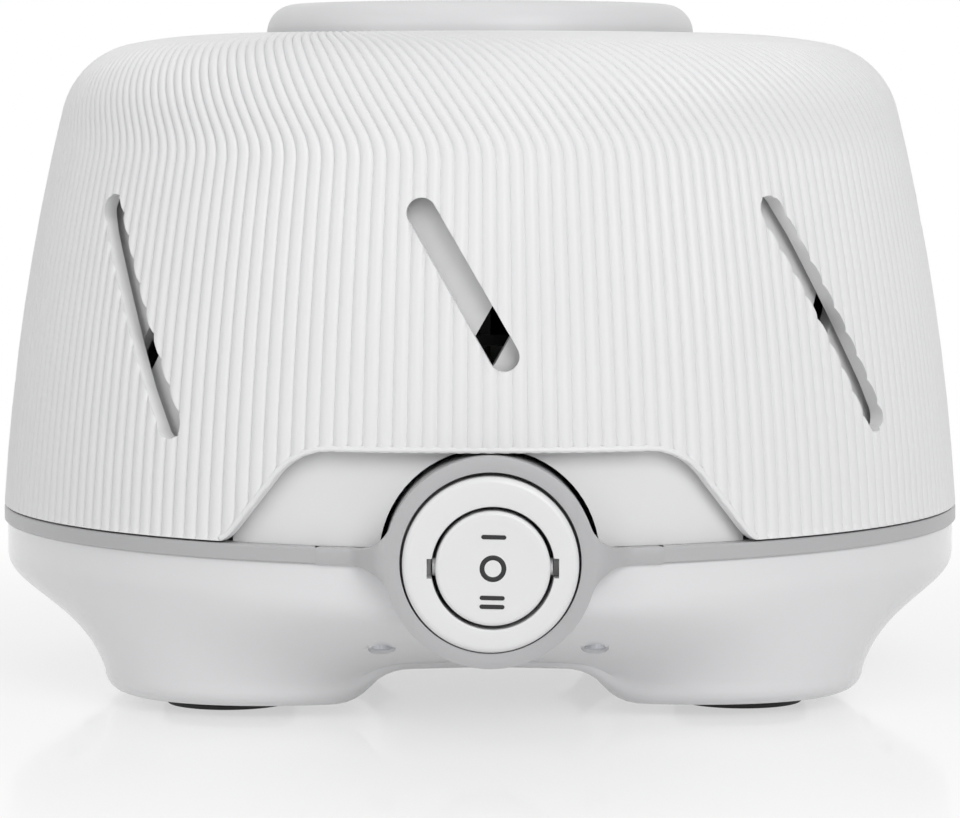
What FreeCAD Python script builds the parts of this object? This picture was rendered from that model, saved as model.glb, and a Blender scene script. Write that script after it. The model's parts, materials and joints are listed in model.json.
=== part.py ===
import FreeCAD, Part

import math
import os

import Sketcher
from FreeCAD import Placement, Rotation, Vector

# White noise sound machine: a fan inside two slotted drums. The outer ribbed shell turns to open
# or close the slots, the top cap turns a shutter, and a round rocker switch picks off or a speed.
# Millimetres, +Z up, origin on the table under the middle, front toward -Y.
# An azimuth is measured from the front toward +X.

SIZES = {
    # How far a cut runs past a face, or a fused piece into its neighbour
    "overrun": 1.0,
    "fit_gap": 0.05,
    "running_gap": 0.3,
    # Round body
    "waist_radius": 73.0,
    "waist_step": 0.5,
    "waist_drop": 2.8,
    "base_bottom": 1.6,
    "base_top": 23.6,
    "base_wall": 2.4,
    "base_floor": 9.4,
    "side_scoop": 20.5,
    "side_curve": 1.7,
    "corner_scoop": 4.4,
    "corner_curve": 3.0,
    "under_round": 3.0,
    "arch_top": 7.0,
    "arch_flat": 11.1,
    "arch_reach": 21.9,
    "arch_overrun": 0.1,
    "foot_inset": 35.3,
    "foot_radius": 9.5,
    "foot_chamfer": 0.6,
    "foot_stem": 3.0,
    "foot_pocket": 11.0,
    "foot_floor": 4.0,
    # Trim band and its ring round the switch
    "trim_height": 2.3,
    "trim_wall": 2.5,
    "trim_blend": 5.0,
    "ring_rise": 0.8,
    "ring_outer": 14.8,
    "ring_inner": 12.4,
    "ring_proud": 2.0,
    "ring_recess": 5.0,
    "ring_shelf_thick": 2.0,
    "ring_way_depth": 13.0,
    "web_reach": 24.0,
    # Outer shell
    "shell_gap": 0.3,
    "shell_step": 0.3,
    "shell_wall": 2.2,
    "shoulder_radius": 13.3,
    "shoulder_inset": 22.23,
    "shoulder_rise": 56.53,
    "shoulder_start": 14.0,
    "shoulder_end": 79.0,
    "wall_curve": 337.0,
    "crest_curve": 75.0,
    "crown_width": 39.1,
    # Slots in the shell and, mirrored, in the drum
    "slot_count": 8,
    "slot_width": 4.2,
    "slot_rise": 45.5,
    "slot_height": 29.8,
    "front_slot_height": 19.5,
    "slot_cross_drop": 17.5,
    "slot_lean": 30.4,
    "slot_azimuth": 0.5,
    "slot_depth": 22.0,
    # Notch over the switch
    "notch_height": 13.5,
    "notch_overrun": 0.6,
    "notch_flat": 21.9,
    "notch_shoulder": 9.6,
    "notch_slope": 52.0,
    "notch_flare": 6.0,
    "notch_flare_end": 15.0,
    # Drum inside the shell
    "drum_gap": 3.6,
    "drum_wall": 1.8,
    "spigot_gap": 0.5,
    "neck_step": 3.6,
    "neck_wall": 2.4,
    "neck_height": 3.1,
    "deck_drop": 0.43,
    "deck_thick": 2.2,
    "rail_gap": 10.1,
    "rail_wall": 3.0,
    "rail_height": 2.2,
    "panel_gap": 0.2,
    "panel_half_angle": 30.4,
    "panel_height": 20.1,
    "panel_root": 1.5,
    "ring_clearance": 0.4,
    "vent_inner": 14.0,
    "vent_rim": 3.4,
    "vent_sweep": 34.0,
    "vent_count": 4,
    # Housing screws
    "screw_azimuth": 13.7,
    "screw_boss": 3.2,
    "screw_boss_foot": 10.0,
    "screw_well": 1.95,
    "screw_seat": 16.0,
    "screw_head": 1.8,
    "screw_head_thick": 2.0,
    "screw_shank": 1.15,
    "screw_tip_cover": 0.9,
    "screw_hole_cover": 0.6,
    # Top cap, shutter and their screw
    "cap_height": 7.8,
    "cap_gap": 1.3,
    "cap_round": 4.3,
    "cap_flare": 0.4,
    "cap_wall": 2.0,
    "cap_boss": 5.0,
    "cap_spigot": 3.95,
    "cap_window_width": 9.0,
    "cap_window_height": 2.4,
    "cap_window_count": 8,
    "shutter_thick": 1.7,
    "shutter_step": 2.2,
    "cap_screw_radius": 1.5,
    "cap_screw_cover": 3.8,
    "cap_screw_tip": 0.5,
    "cap_screw_head": 3.0,
    "cap_screw_head_thick": 1.8,
    "cap_washer_radius": 7.0,
    "cap_washer_thick": 0.8,
    # Rocker switch
    "bezel_radius": 12.05,
    "bezel_proud": 0.8,
    "bezel_round": 0.8,
    "barrel_radius": 10.1,
    "barrel_length": 23.0,
    "barrel_floor_thick": 2.0,
    "switch_bore": 8.65,
    "pivot_inset": 2.7,
    "pivot_radius": 1.2,
    "pivot_reach": 9.3,
    "rocker_radius": 8.3,
    "rocker_proud": 0.2,
    "rocker_thick": 5.2,
    "rocker_taper": 1.0,
    "rocker_edge": 0.6,
    "stem_side": 5.0,
    "stem_length": 5.8,
    "plunger_radius": 1.2,
    "plunger_reach": 5.0,
    "plunger_socket": 4.0,
    "mark_depth": 0.2,
    "mark_length": 3.4,
    "mark_width": 0.6,
    "mark_offset": 4.2,
    "mark_pitch": 1.25,
    "mark_ring": 1.8,
    "terminal_width": 4.0,
    "terminal_thick": 0.8,
    "terminal_pitch": 5.6,
    "terminal_tip": 3.0,
    "terminal_tail": 7.0,
    # Motor
    "plate_radius": 38.0,
    "plate_thick": 1.6,
    "post_circle": 32.0,
    "post_azimuth": 30.0,
    "post_radius": 4.5,
    "post_height": 2.0,
    "grommet_height": 4.0,
    "grommet_waist": 0.8,
    "mount_screw_radius": 1.5,
    "mount_screw_head": 3.0,
    "mount_screw_head_thick": 1.8,
    "mount_screw_depth": 2.4,
    "mount_hole_gap": 0.2,
    "core_half_width": 22.0,
    "core_front": 14.0,
    "core_rear": 34.0,
    "core_rise": 9.0,
    "core_thick": 12.0,
    "core_bore": 10.0,
    "window_half": 13.0,
    "window_front": 13.0,
    "leg_front": 22.0,
    "coil_gap": 0.2,
    "bobbin_wall": 1.0,
    "bobbin_half": 12.0,
    "bobbin_flange": 1.5,
    "flange_lip": 0.6,
    "coil_depth": 5.0,
    "bracket_leg": 4.0,
    "bracket_half_width": 6.0,
    "bracket_rise": 7.4,
    "bracket_thick": 1.6,
    "bearing_radius": 4.5,
    "shaft_radius": 1.6,
    "shaft_gap": 0.4,
    "shaft_tip": 1.0,
    "rotor_radius": 9.6,
    "washer_radius": 3.2,
    "washer_thick": 0.8,
    "bracket_screw_radius": 1.3,
    "bracket_screw_head": 2.6,
    "bracket_screw_head_thick": 1.6,
    # Fan
    "fan_rise": 5.0,
    "fan_disc": 1.6,
    "fan_radius": 42.0,
    "fan_hub": 5.0,
    "fan_hub_height": 9.0,
    "blade_inner": 16.0,
    "blade_thick": 1.4,
    "blade_height": 20.0,
    "blade_inset": 0.5,
    "blade_root": 0.5,
    "blade_count": 8,
    "fan_ring_wall": 2.0,
    "fan_ring_height": 2.0,
    "clip_radius": 3.4,
    "clip_thick": 0.7,
    # Cord gland and internal leads
    "gland_height": 15.6,
    "gland_proud": 2.0,
    "gland_length": 15.0,
    "gland_collar": 5.6,
    "gland_collar_thick": 2.4,
    "gland_body": 4.3,
    "gland_bore": 3.1,
    "gland_boss": 5.8,
    "gland_boss_length": 9.6,
    "lead_radius": 0.9,
    "lead_offset": 1.4,
    "lead_straight": 4.0,
}

# Shares of the height at which the base's lofts have a section
UNDER_SHARES = (0.0, 0.13, 0.43)
WALL_SHARES = (0.0, 0.15, 0.31, 0.47, 0.63, 0.76, 0.87, 1.0)
INSIDE_SHARES = (0.0, 0.17, 0.37, 0.57, 0.78, 1.0)
LOBE_POINTS = 32
# Share of the shorter run beside a bend that a lead's bend takes up
BEND_SHARE = 0.45


class Size:
    """A number with the formula that the document keeps for it."""

    def __init__(self, value, formula):
        self.value = float(value)
        self.formula = formula

    def __add__(self, other):
        other = size(other)
        return Size(self.value + other.value, f"({self.formula} + {other.formula})")

    def __sub__(self, other):
        other = size(other)
        return Size(self.value - other.value, f"({self.formula} - {other.formula})")

    def __mul__(self, other):
        other = size(other)
        return Size(self.value * other.value, f"{self.formula} * {other.formula}")

    def __truediv__(self, other):
        other = size(other)
        return Size(self.value / other.value, f"({self.formula} / {other.formula})")

    def __neg__(self):
        return Size(-self.value, f"(0 - {self.formula})")

    __radd__ = __add__
    __rmul__ = __mul__


def size(value):
    """Return a plain number as a Size."""
    if isinstance(value, Size):
        return value
    return Size(value, repr(float(value)))


def sine(angle):
    return Size(math.sin(math.radians(angle.value)), f"sin({angle.formula})")


def cosine(angle):
    return Size(math.cos(math.radians(angle.value)), f"cos({angle.formula})")


def tangent(angle):
    return Size(math.tan(math.radians(angle.value)), f"tan({angle.formula})")


def root(number):
    return Size(math.sqrt(number.value), f"sqrt({number.formula})")


class Dimensions:
    """The sheet's values by name, and the places that follow from them."""

    def __init__(self, table):
        for name, value in table.items():
            setattr(self, name, Size(value, f"sizes.{name}"))
        self.follow_waist()
        self.follow_switch()
        self.follow_top()
        self.follow_motor()

    def follow_waist(self):
        """Set the radii and levels of the base, the trim, the shell and the gland."""
        self.base_radius = self.waist_radius - self.waist_step
        self.waist_flat = self.base_top - self.waist_drop
        self.foot_spacing = self.base_radius - self.foot_inset
        self.trim_top = self.base_top + self.trim_height
        self.shell_foot = self.trim_top + self.shell_gap
        self.shell_radius = self.waist_radius - self.shell_step
        self.notch_top = self.shell_foot + self.notch_height
        self.slot_top = self.shell_foot + self.slot_rise
        self.slot_bottom = self.slot_top - self.slot_height
        self.front_slot_bottom = self.slot_top - self.front_slot_height
        self.slot_cross = self.slot_top - self.slot_cross_drop
        self.gland_face = self.waist_radius + self.gland_proud
        self.gland_collar_back = self.gland_face - self.gland_collar_thick
        self.gland_end = self.gland_face - self.gland_length
        self.gland_boss_inner = self.gland_collar_back - self.gland_boss_length

    def follow_switch(self):
        """Set the ring's and the switch's places along the line out of the front."""
        self.ring_centre = self.base_top + self.ring_rise
        self.ring_face = self.waist_radius + self.ring_proud
        self.ring_shelf = self.ring_face - self.ring_recess
        self.ring_back = self.ring_shelf - self.ring_shelf_thick
        self.bezel_face = self.ring_face + self.bezel_proud
        self.barrel_back = self.ring_face - self.barrel_length
        self.barrel_floor = self.barrel_back + self.barrel_floor_thick
        self.pivot_depth = self.bezel_face - self.pivot_inset
        self.pivot_notch = self.pivot_reach + self.running_gap
        self.rocker_face = self.bezel_face + self.rocker_proud
        self.rocker_back = self.rocker_face - self.rocker_thick
        self.stem_end = self.rocker_back - self.stem_length
        self.plunger_end = self.stem_end - self.plunger_reach
        self.plunger_depth = self.stem_end + self.plunger_socket
        self.terminal_front = self.barrel_floor + self.terminal_tip
        self.terminal_back = self.barrel_back - self.terminal_tail

    def follow_top(self):
        """Set the places of the shell's crown, the drum and the cap."""
        self.shoulder_centre = self.waist_radius - self.shoulder_inset
        self.shoulder_height = self.shell_foot + self.shoulder_rise
        self.shell_hole = self.waist_radius - self.crown_width
        self.drum_spigot = self.base_radius - self.base_wall - self.spigot_gap
        self.drum_spigot_bottom = self.gland_height + self.gland_boss + self.running_gap
        self.drum_neck = self.drum_spigot - self.neck_step
        self.drum_neck_top = self.trim_top + self.neck_height
        self.screw_circle = self.drum_spigot - self.screw_boss
        self.screw_end = self.trim_top - self.screw_tip_cover
        self.panel_face = self.trim_wall + self.panel_gap
        self.panel_inner = self.drum_neck - self.panel_root
        self.panel_top = self.trim_top + self.panel_height
        self.deck_top = self.shoulder_height + self.shoulder_radius - self.drum_gap - self.deck_drop
        self.deck_bottom = self.deck_top - self.deck_thick
        self.rail_inner = self.shell_hole + self.rail_gap
        self.rail_outer = self.rail_inner + self.rail_wall
        self.rail_top = self.deck_top + self.rail_height
        self.shutter_bottom = self.deck_top + self.running_gap
        self.cap_foot = self.shutter_bottom + self.shutter_thick
        self.cap_top = self.cap_foot + self.cap_height
        self.cap_radius = self.shell_hole - self.cap_gap
        self.shutter_radius = self.cap_radius - self.shutter_step
        self.vent_outer = self.shutter_radius - self.vent_rim
        self.cap_window_top = self.cap_foot + self.cap_window_height
        self.cap_spigot_end = self.deck_bottom - self.running_gap
        self.cap_washer_bottom = self.cap_spigot_end - self.cap_washer_thick
        self.cap_screw_end = self.cap_washer_bottom - self.cap_screw_head_thick
        self.cap_screw_depth = self.cap_top - self.cap_screw_cover

    def follow_motor(self):
        """Set the levels of the motor and the fan."""
        self.post_top = self.base_floor + self.post_height
        self.plate_bottom = self.post_top + self.grommet_height
        self.plate_top = self.plate_bottom + self.plate_thick
        self.core_bottom = self.plate_top + self.core_rise
        self.core_top = self.core_bottom + self.core_thick
        self.bracket_top = self.core_top + self.bracket_rise + self.bracket_thick
        self.shaft_bottom = self.plate_top + self.shaft_gap
        self.fan_bottom = self.bracket_top + self.fan_rise
        self.fan_hub_top = self.fan_bottom + self.fan_hub_height
        self.blade_top = self.fan_bottom + self.blade_height
        self.shaft_top = self.fan_hub_top + self.shaft_tip


doc = FreeCAD.newDocument("sound_machine")
sheet = doc.addObject("Spreadsheet::Sheet", "sizes")
for row, (alias, number) in enumerate(SIZES.items(), start=1):
    sheet.set(f"A{row}", str(number))
    sheet.setAlias(f"A{row}", alias)
doc.recompute()
d = Dimensions(SIZES)
ZERO = size(0)
nodes = {}


# Drawing and feature helpers

class Arc:
    """An arc about a centre, from the corner before it to the corner after it."""

    def __init__(self, x, y, clockwise=False):
        self.x = size(x)
        self.y = size(y)
        self.clockwise = clockwise


class Circle:
    """A full circle."""

    def __init__(self, x, y, radius):
        self.x = size(x)
        self.y = size(y)
        self.radius = size(radius)


def point(corner):
    return Vector(size(corner[0]).value, size(corner[1]).value, 0)


def hold(sketch, kind, item, place, value):
    """Tie one coordinate of a sketch point to a size."""
    index = sketch.addConstraint(Sketcher.Constraint(kind, item, place, value.value))
    sketch.setExpression(f"Constraints[{index}]", value.formula)


def hold_point(sketch, item, place, corner):
    hold(sketch, "DistanceX", item, place, size(corner[0]))
    hold(sketch, "DistanceY", item, place, size(corner[1]))


def draw_arc(sketch, start, arc, end):
    """Draw one arc of an outline and tie its centre, its start and where it ends."""
    centre = point((arc.x, arc.y))
    first, last = (end, start) if arc.clockwise else (start, end)
    opening = point(first) - centre
    closing = point(last) - centre
    angles = [math.atan2(opening.y, opening.x), math.atan2(closing.y, closing.x)]
    if angles[1] < angles[0]:
        angles[1] += 2 * math.pi
    circle = Part.Circle(centre, Vector(0, 0, 1), opening.Length)
    item = sketch.addGeometry(Part.ArcOfCircle(circle, angles[0], angles[1]))
    hold_point(sketch, item, 3, (arc.x, arc.y))
    hold_point(sketch, item, 1, first)
    if abs(closing.x) > abs(closing.y):
        hold(sketch, "DistanceY", item, 2, size(last[1]))
    else:
        hold(sketch, "DistanceX", item, 2, size(last[0]))


def draw(sketch, outline):
    """Draw a closed outline of corners, with an Arc between the two corners that it joins."""
    if isinstance(outline, Circle):
        circle = Part.Circle(point((outline.x, outline.y)), Vector(0, 0, 1), outline.radius.value)
        item = sketch.addGeometry(circle)
        hold_point(sketch, item, 3, (outline.x, outline.y))
        index = sketch.addConstraint(Sketcher.Constraint("Radius", item, outline.radius.value))
        sketch.setExpression(f"Constraints[{index}]", outline.radius.formula)
        return
    corners = [index for index, entry in enumerate(outline) if not isinstance(entry, Arc)]
    for index in corners:
        start = outline[index]
        following = outline[(index + 1) % len(outline)]
        if isinstance(following, Arc):
            draw_arc(sketch, start, following, outline[(index + 2) % len(outline)])
            continue
        item = sketch.addGeometry(Part.LineSegment(point(start), point(following)))
        hold_point(sketch, item, 1, start)
        hold_point(sketch, item, 2, following)


def origin_feature(body, role):
    return next(feature for feature in body.Origin.OriginFeatures if feature.Role == role)


def add_sketch(body, name, plane, outlines, lift=ZERO, azimuth=None):
    """Add a sketch on one of the body's planes, lifted along its normal and turned about Z."""
    sketch = body.newObject("Sketcher::SketchObject", name)
    sketch.AttachmentSupport = [(origin_feature(body, plane), "")]
    sketch.MapMode = "FlatFace"
    if azimuth is None:
        sketch.setExpression("AttachmentOffset.Base.z", lift.formula)
    else:
        sketch.AttachmentOffset = Placement(Vector(), Rotation(Vector(0, 1, 0), azimuth.value))
        sketch.setExpression("AttachmentOffset.Rotation.Angle", azimuth.formula)
        sketch.setExpression("AttachmentOffset.Base.x", (lift * sine(azimuth)).formula)
        sketch.setExpression("AttachmentOffset.Base.z", (lift * cosine(azimuth)).formula)
    for outline in outlines:
        draw(sketch, outline)
    return sketch


def new_body(name):
    return doc.addObject("PartDesign::Body", name)


def revolve(body, name, outline, azimuth=None, sweep=None):
    """Turn an outline of (radius, height) corners about the body's Z axis."""
    sketch = add_sketch(body, f"{name}_outline", "XZ_Plane", [outline], azimuth=azimuth)
    turned = body.newObject("PartDesign::Revolution", name)
    turned.Profile = sketch
    turned.ReferenceAxis = (sketch, ["V_Axis"])
    turned.Angle = 360
    if sweep is not None:
        turned.Midplane = True
        turned.setExpression("Angle", sweep.formula)
    return turned


def pad(body, name, outlines, bottom, thick, plane="XY_Plane"):
    """Raise outlines from a plane by a thickness."""
    sketch = add_sketch(body, f"{name}_outline", plane, outlines, lift=bottom)
    feature = body.newObject("PartDesign::Pad", name)
    feature.Profile = sketch
    feature.setExpression("Length", thick.formula)
    return feature


def pocket(body, name, outlines, top, depth, plane="XY_Plane", azimuth=None):
    """Cut outlines down from a plane, and make sure that they cut something."""
    doc.recompute()
    before = body.Shape.Volume
    sketch = add_sketch(body, f"{name}_outline", plane, outlines, lift=top, azimuth=azimuth)
    feature = body.newObject("PartDesign::Pocket", name)
    feature.Profile = sketch
    feature.setExpression("Length", depth.formula)
    doc.recompute()
    if body.Shape.Volume >= before:
        raise RuntimeError(f"{name} cuts nothing")
    return feature


def polar(body, name, feature, count, spacing):
    """Repeat a feature about the body's Z axis."""
    pattern = body.newObject("PartDesign::PolarPattern", name)
    pattern.Originals = [feature]
    pattern.Axis = (origin_feature(body, "Z_Axis"), [""])
    pattern.Mode = "Spacing"
    pattern.setExpression("Offset", size(spacing).formula)
    pattern.setExpression("Occurrences", size(count).formula)
    body.Tip = pattern
    doc.recompute()
    return pattern


def place(piece, x=0, y=0, z=0, rotation=None):
    """Put a piece at a place whose coordinates follow the sheet."""
    if rotation is not None:
        piece.Placement = Placement(Vector(), rotation)
    for axis, value in (("x", x), ("y", y), ("z", z)):
        if isinstance(value, Size) or value:
            piece.setExpression(f"Placement.Base.{axis}", size(value).formula)
    return piece


def cylinder(name, radius, height, x=0, y=0, z=0, rotation=None):
    piece = doc.addObject("Part::Cylinder", name)
    piece.setExpression("Radius", size(radius).formula)
    piece.setExpression("Height", size(height).formula)
    return place(piece, x, y, z, rotation)


def block(name, low, high):
    """Make a box between two corners."""
    piece = doc.addObject("Part::Box", name)
    for side, start, end in zip(("Length", "Width", "Height"), low, high):
        piece.setExpression(side, (size(end) - start).formula)
    return place(piece, *low)


def cut(name, base, tool):
    piece = doc.addObject("Part::Cut", name)
    piece.Base = base
    piece.Tool = tool
    return piece


def fuse(name, shapes):
    piece = doc.addObject("Part::MultiFuse", name)
    piece.Shapes = shapes
    return piece


def common(name, first, second):
    piece = doc.addObject("Part::Common", name)
    piece.Base = first
    piece.Tool = second
    return piece


def node(name, piece):
    """Keep a finished piece under the name of its file."""
    piece.Label = name
    nodes[name] = piece
    return piece


def rectangle(left, bottom, right, top):
    return [(left, bottom), (right, bottom), (right, top), (left, top)]


# Local Z of a piece on the switch's line points out of the front, and of the gland out of the rear
FACING_FRONT = Rotation(Vector(1, 0, 0), 90)
FACING_REAR = Rotation(Vector(1, 0, 0), -90)
ALONG_X = Rotation(Vector(0, 1, 0), 90)


# Shared profile of the shell and the drum

def dome(inset):
    """Give the dome's centres and joints at a depth below the shell's outer face.

    The wall is one long arc from the foot to the shoulder, the shoulder a tight arc and the
    crest a long flat arc that ends level. The arcs share tangents, so an inset keeps their
    centres and only shortens their radii.
    """
    shoulder = d.shoulder_radius - inset
    wall = d.wall_curve - inset
    crest = d.crest_curve - inset
    wall_x = d.shoulder_centre - (d.wall_curve - d.shoulder_radius) * cosine(d.shoulder_start)
    wall_z = d.shoulder_height - (d.wall_curve - d.shoulder_radius) * sine(d.shoulder_start)
    crest_x = d.shoulder_centre - (d.crest_curve - d.shoulder_radius) * cosine(d.shoulder_end)
    crest_z = d.shoulder_height - (d.crest_curve - d.shoulder_radius) * sine(d.shoulder_end)
    return {
        "wall": (wall_x, wall_z),
        "wall_radius": wall,
        "wall_top": (
            d.shoulder_centre + shoulder * cosine(d.shoulder_start),
            d.shoulder_height + shoulder * sine(d.shoulder_start),
        ),
        "shoulder": (d.shoulder_centre, d.shoulder_height),
        "shoulder_end": (
            d.shoulder_centre + shoulder * cosine(d.shoulder_end),
            d.shoulder_height + shoulder * sine(d.shoulder_end),
        ),
        "crest": (crest_x, crest_z),
        "crest_top": (crest_x, crest_z + crest),
    }


def wall_at(curve, height):
    """Give the corner of a dome wall at a height."""
    centre_x, centre_z = curve["wall"]
    rise = size(height) - centre_z
    reach = root(curve["wall_radius"] * curve["wall_radius"] - rise * rise)
    return (centre_x + reach, size(height))


# Slots and vents

def slot_outline(top, bottom, lean):
    """Give a leaning round-ended slot, centred on x = 0 of its own plane."""
    half = d.slot_width / 2
    run = (top - bottom) * tangent(lean) / 2
    across = (half * cosine(lean), half * sine(lean))
    high = (-run, top)
    low = (run, bottom)
    return [
        (low[0] + across[0], low[1] + across[1]),
        (high[0] + across[0], high[1] + across[1]),
        Arc(high[0], high[1]),
        (high[0] - across[0], high[1] - across[1]),
        (low[0] - across[0], low[1] - across[1]),
        Arc(low[0], low[1]),
    ]


def slot_middle(top, bottom, side):
    """Give a slot's middle azimuth; side is -1 where it leans left going up, else 1."""
    turn_per_rise = tangent(d.slot_lean) / d.shell_radius * (180 / math.pi)
    return d.slot_azimuth + ((top + bottom) / 2 - d.slot_cross) * turn_per_rise * side


def cut_slots(body, side):
    """Cut the ring of slots and the short one over the switch."""
    lean = d.slot_lean * -side
    pitch = size(360) / d.slot_count
    full = slot_outline(d.slot_top, d.slot_bottom, lean)
    azimuth = slot_middle(d.slot_top, d.slot_bottom, side) + pitch
    reach = d.waist_radius + d.overrun
    depth = d.slot_depth + d.overrun
    first = pocket(body, "side_slot", [full], reach, depth, "XZ_Plane", azimuth)
    polar(body, "side_slots", first, d.slot_count - 1, pitch)
    short = slot_outline(d.slot_top, d.front_slot_bottom, lean)
    azimuth = slot_middle(d.slot_top, d.front_slot_bottom, side)
    pocket(body, "front_slot", [short], reach, depth, "XZ_Plane", azimuth)


def vent_outline():
    """Give one kidney-shaped vent of the deck and the shutter."""
    middle = (d.vent_inner + d.vent_outer) / 2
    turn = d.vent_sweep / 2
    ends = [(middle * cosine(turn), middle * sine(turn) * side) for side in (-1, 1)]
    inner = [(d.vent_inner * cosine(turn), d.vent_inner * sine(turn) * side) for side in (-1, 1)]
    outer = [(d.vent_outer * cosine(turn), d.vent_outer * sine(turn) * side) for side in (-1, 1)]
    return [
        outer[0], Arc(0, 0), outer[1], Arc(*ends[1]), inner[1],
        Arc(0, 0, clockwise=True), inner[0], Arc(*ends[0]),
    ]


def cut_vents(body, top, thick):
    first = pocket(body, "vent", [vent_outline()], top + d.overrun, thick + d.overrun * 2)
    polar(body, "vents", first, d.vent_count, size(360) / d.vent_count)


# Outer shell

def notch_outline():
    """Give the notch over the switch: a flat top, round shoulders, slopes and flared feet."""
    below = d.shell_foot - d.notch_overrun
    shoulder_y = d.notch_top - d.notch_shoulder
    slope_top = (
        d.notch_flat + d.notch_shoulder * sine(d.notch_slope),
        shoulder_y + d.notch_shoulder * cosine(d.notch_slope),
    )
    flare_y = below + d.notch_flare * cosine(d.notch_flare_end)
    slope_foot_y = flare_y - d.notch_flare * cosine(d.notch_slope)
    slope_foot_x = slope_top[0] + (slope_top[1] - slope_foot_y) / tangent(d.notch_slope)
    flare_x = slope_foot_x + d.notch_flare * sine(d.notch_slope)
    foot_x = flare_x - d.notch_flare * sine(d.notch_flare_end)
    return [
        (d.notch_flat, d.notch_top),
        (-d.notch_flat, d.notch_top),
        Arc(-d.notch_flat, shoulder_y),
        (-slope_top[0], slope_top[1]),
        (-slope_foot_x, slope_foot_y),
        Arc(-flare_x, flare_y, clockwise=True),
        (-foot_x, below),
        (foot_x, below),
        Arc(flare_x, flare_y, clockwise=True),
        (slope_foot_x, slope_foot_y),
        slope_top,
        Arc(d.notch_flat, shoulder_y),
    ]


def make_shell():
    outer = dome(ZERO)
    inner = dome(d.shell_wall)
    outline = [
        wall_at(outer, d.shell_foot),
        Arc(*outer["wall"]),
        outer["wall_top"],
        Arc(*outer["shoulder"]),
        outer["shoulder_end"],
        Arc(*outer["crest"]),
        outer["crest_top"],
        (d.shell_hole, outer["crest_top"][1]),
        (d.shell_hole, inner["crest_top"][1]),
        inner["crest_top"],
        Arc(*inner["crest"], clockwise=True),
        inner["shoulder_end"],
        Arc(*inner["shoulder"], clockwise=True),
        inner["wall_top"],
        Arc(*inner["wall"], clockwise=True),
        wall_at(inner, d.shell_foot),
    ]
    body = new_body("outer_shell")
    revolve(body, "shell_wall", outline)
    cut_slots(body, side=-1)
    pocket(body, "notch", [notch_outline()], d.waist_radius + d.overrun, d.waist_radius, "XZ_Plane")
    node("outer_shell", body)


# Drum

def screw_places():
    """Give the two screws of the front side as (x, y)."""
    x = d.screw_circle * sine(d.screw_azimuth)
    y = d.screw_circle * cosine(d.screw_azimuth)
    return [(-x, -y), (x, -y)]


def shoulder_reach(inset, height):
    """Give how far the shoulder arc, at a depth, reaches past its centre at a height."""
    radius = d.shoulder_radius - inset
    rise = height - d.shoulder_height
    return root(radius * radius - rise * rise)


def make_drum():
    outer = dome(d.drum_gap)
    inner = dome(d.drum_gap + d.drum_wall)
    deck_reach = shoulder_reach(d.drum_gap, d.deck_top)
    inner_reach = shoulder_reach(d.drum_gap + d.drum_wall, d.deck_bottom)
    neck_inner = d.drum_neck - d.neck_wall
    neck_bottom = d.trim_top - d.neck_wall
    outline = [
        (d.drum_spigot, d.drum_spigot_bottom),
        (d.drum_spigot, d.trim_top),
        (d.drum_neck, d.trim_top),
        (d.drum_neck, d.drum_neck_top),
        wall_at(outer, d.drum_neck_top),
        Arc(*outer["wall"]),
        outer["wall_top"],
        Arc(*outer["shoulder"]),
        (d.shoulder_centre + deck_reach, d.deck_top),
        (d.rail_outer, d.deck_top),
        (d.rail_outer, d.rail_top),
        (d.rail_inner, d.rail_top),
        (d.rail_inner, d.deck_top),
        (d.cap_spigot + d.fit_gap, d.deck_top),
        (d.cap_spigot + d.fit_gap, d.deck_bottom),
        (d.shoulder_centre + inner_reach, d.deck_bottom),
        Arc(*inner["shoulder"], clockwise=True),
        inner["wall_top"],
        Arc(*inner["wall"], clockwise=True),
        wall_at(inner, d.drum_neck_top + d.drum_wall),
        (neck_inner, d.drum_neck_top + d.drum_wall),
        (neck_inner, neck_bottom),
        (d.drum_spigot - d.neck_wall, neck_bottom),
        (d.drum_spigot - d.neck_wall, d.drum_spigot_bottom),
    ]
    body = new_body("inner_housing")
    revolve(body, "drum_wall", outline)
    face = dome(d.panel_face)
    panel = [
        (d.panel_inner, d.trim_top),
        wall_at(face, d.trim_top),
        Arc(*face["wall"]),
        wall_at(face, d.panel_top),
        (d.panel_inner, d.panel_top),
    ]
    revolve(body, "front_panel", panel, azimuth=size(-90), sweep=d.panel_half_angle * 2)
    bosses = [Circle(x, y, d.screw_boss) for x, y in screw_places()]
    first = pad(body, "screw_boss", bosses, d.drum_spigot_bottom, d.trim_top - d.drum_spigot_bottom)
    polar(body, "screw_bosses", first, 4, 90)
    cut_slots(body, side=1)
    cut_vents(body, d.deck_top, d.deck_thick)
    round_switch = Circle(0, d.ring_centre, d.ring_outer + d.ring_clearance)
    pocket(body, "switch_opening", [round_switch], d.waist_radius + d.overrun, d.waist_radius, "XZ_Plane")
    holes = [Circle(x, y, d.screw_shank + d.fit_gap) for x, y in screw_places()]
    depth = d.trim_top - d.drum_spigot_bottom
    first = pocket(body, "screw_hole", holes, d.trim_top - d.screw_hole_cover, depth)
    polar(body, "screw_holes", first, 4, 90)
    node("inner_housing", body)


# Base

def scoop(height, depth, curve):
    """Give how far the base draws in below the waist at a height."""
    if height >= d.waist_flat.value:
        return 0.0
    share = (d.waist_flat.value - height) / (d.waist_flat.value - d.base_bottom.value)
    return depth.value * share ** curve.value


def under_inset(height):
    """Give the rounding of the bottom edge at a height."""
    rise = height - d.base_bottom.value
    bend = d.under_round.value
    if rise >= bend:
        return 0.0
    return bend - math.sqrt(bend ** 2 - (bend - rise) ** 2)


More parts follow.
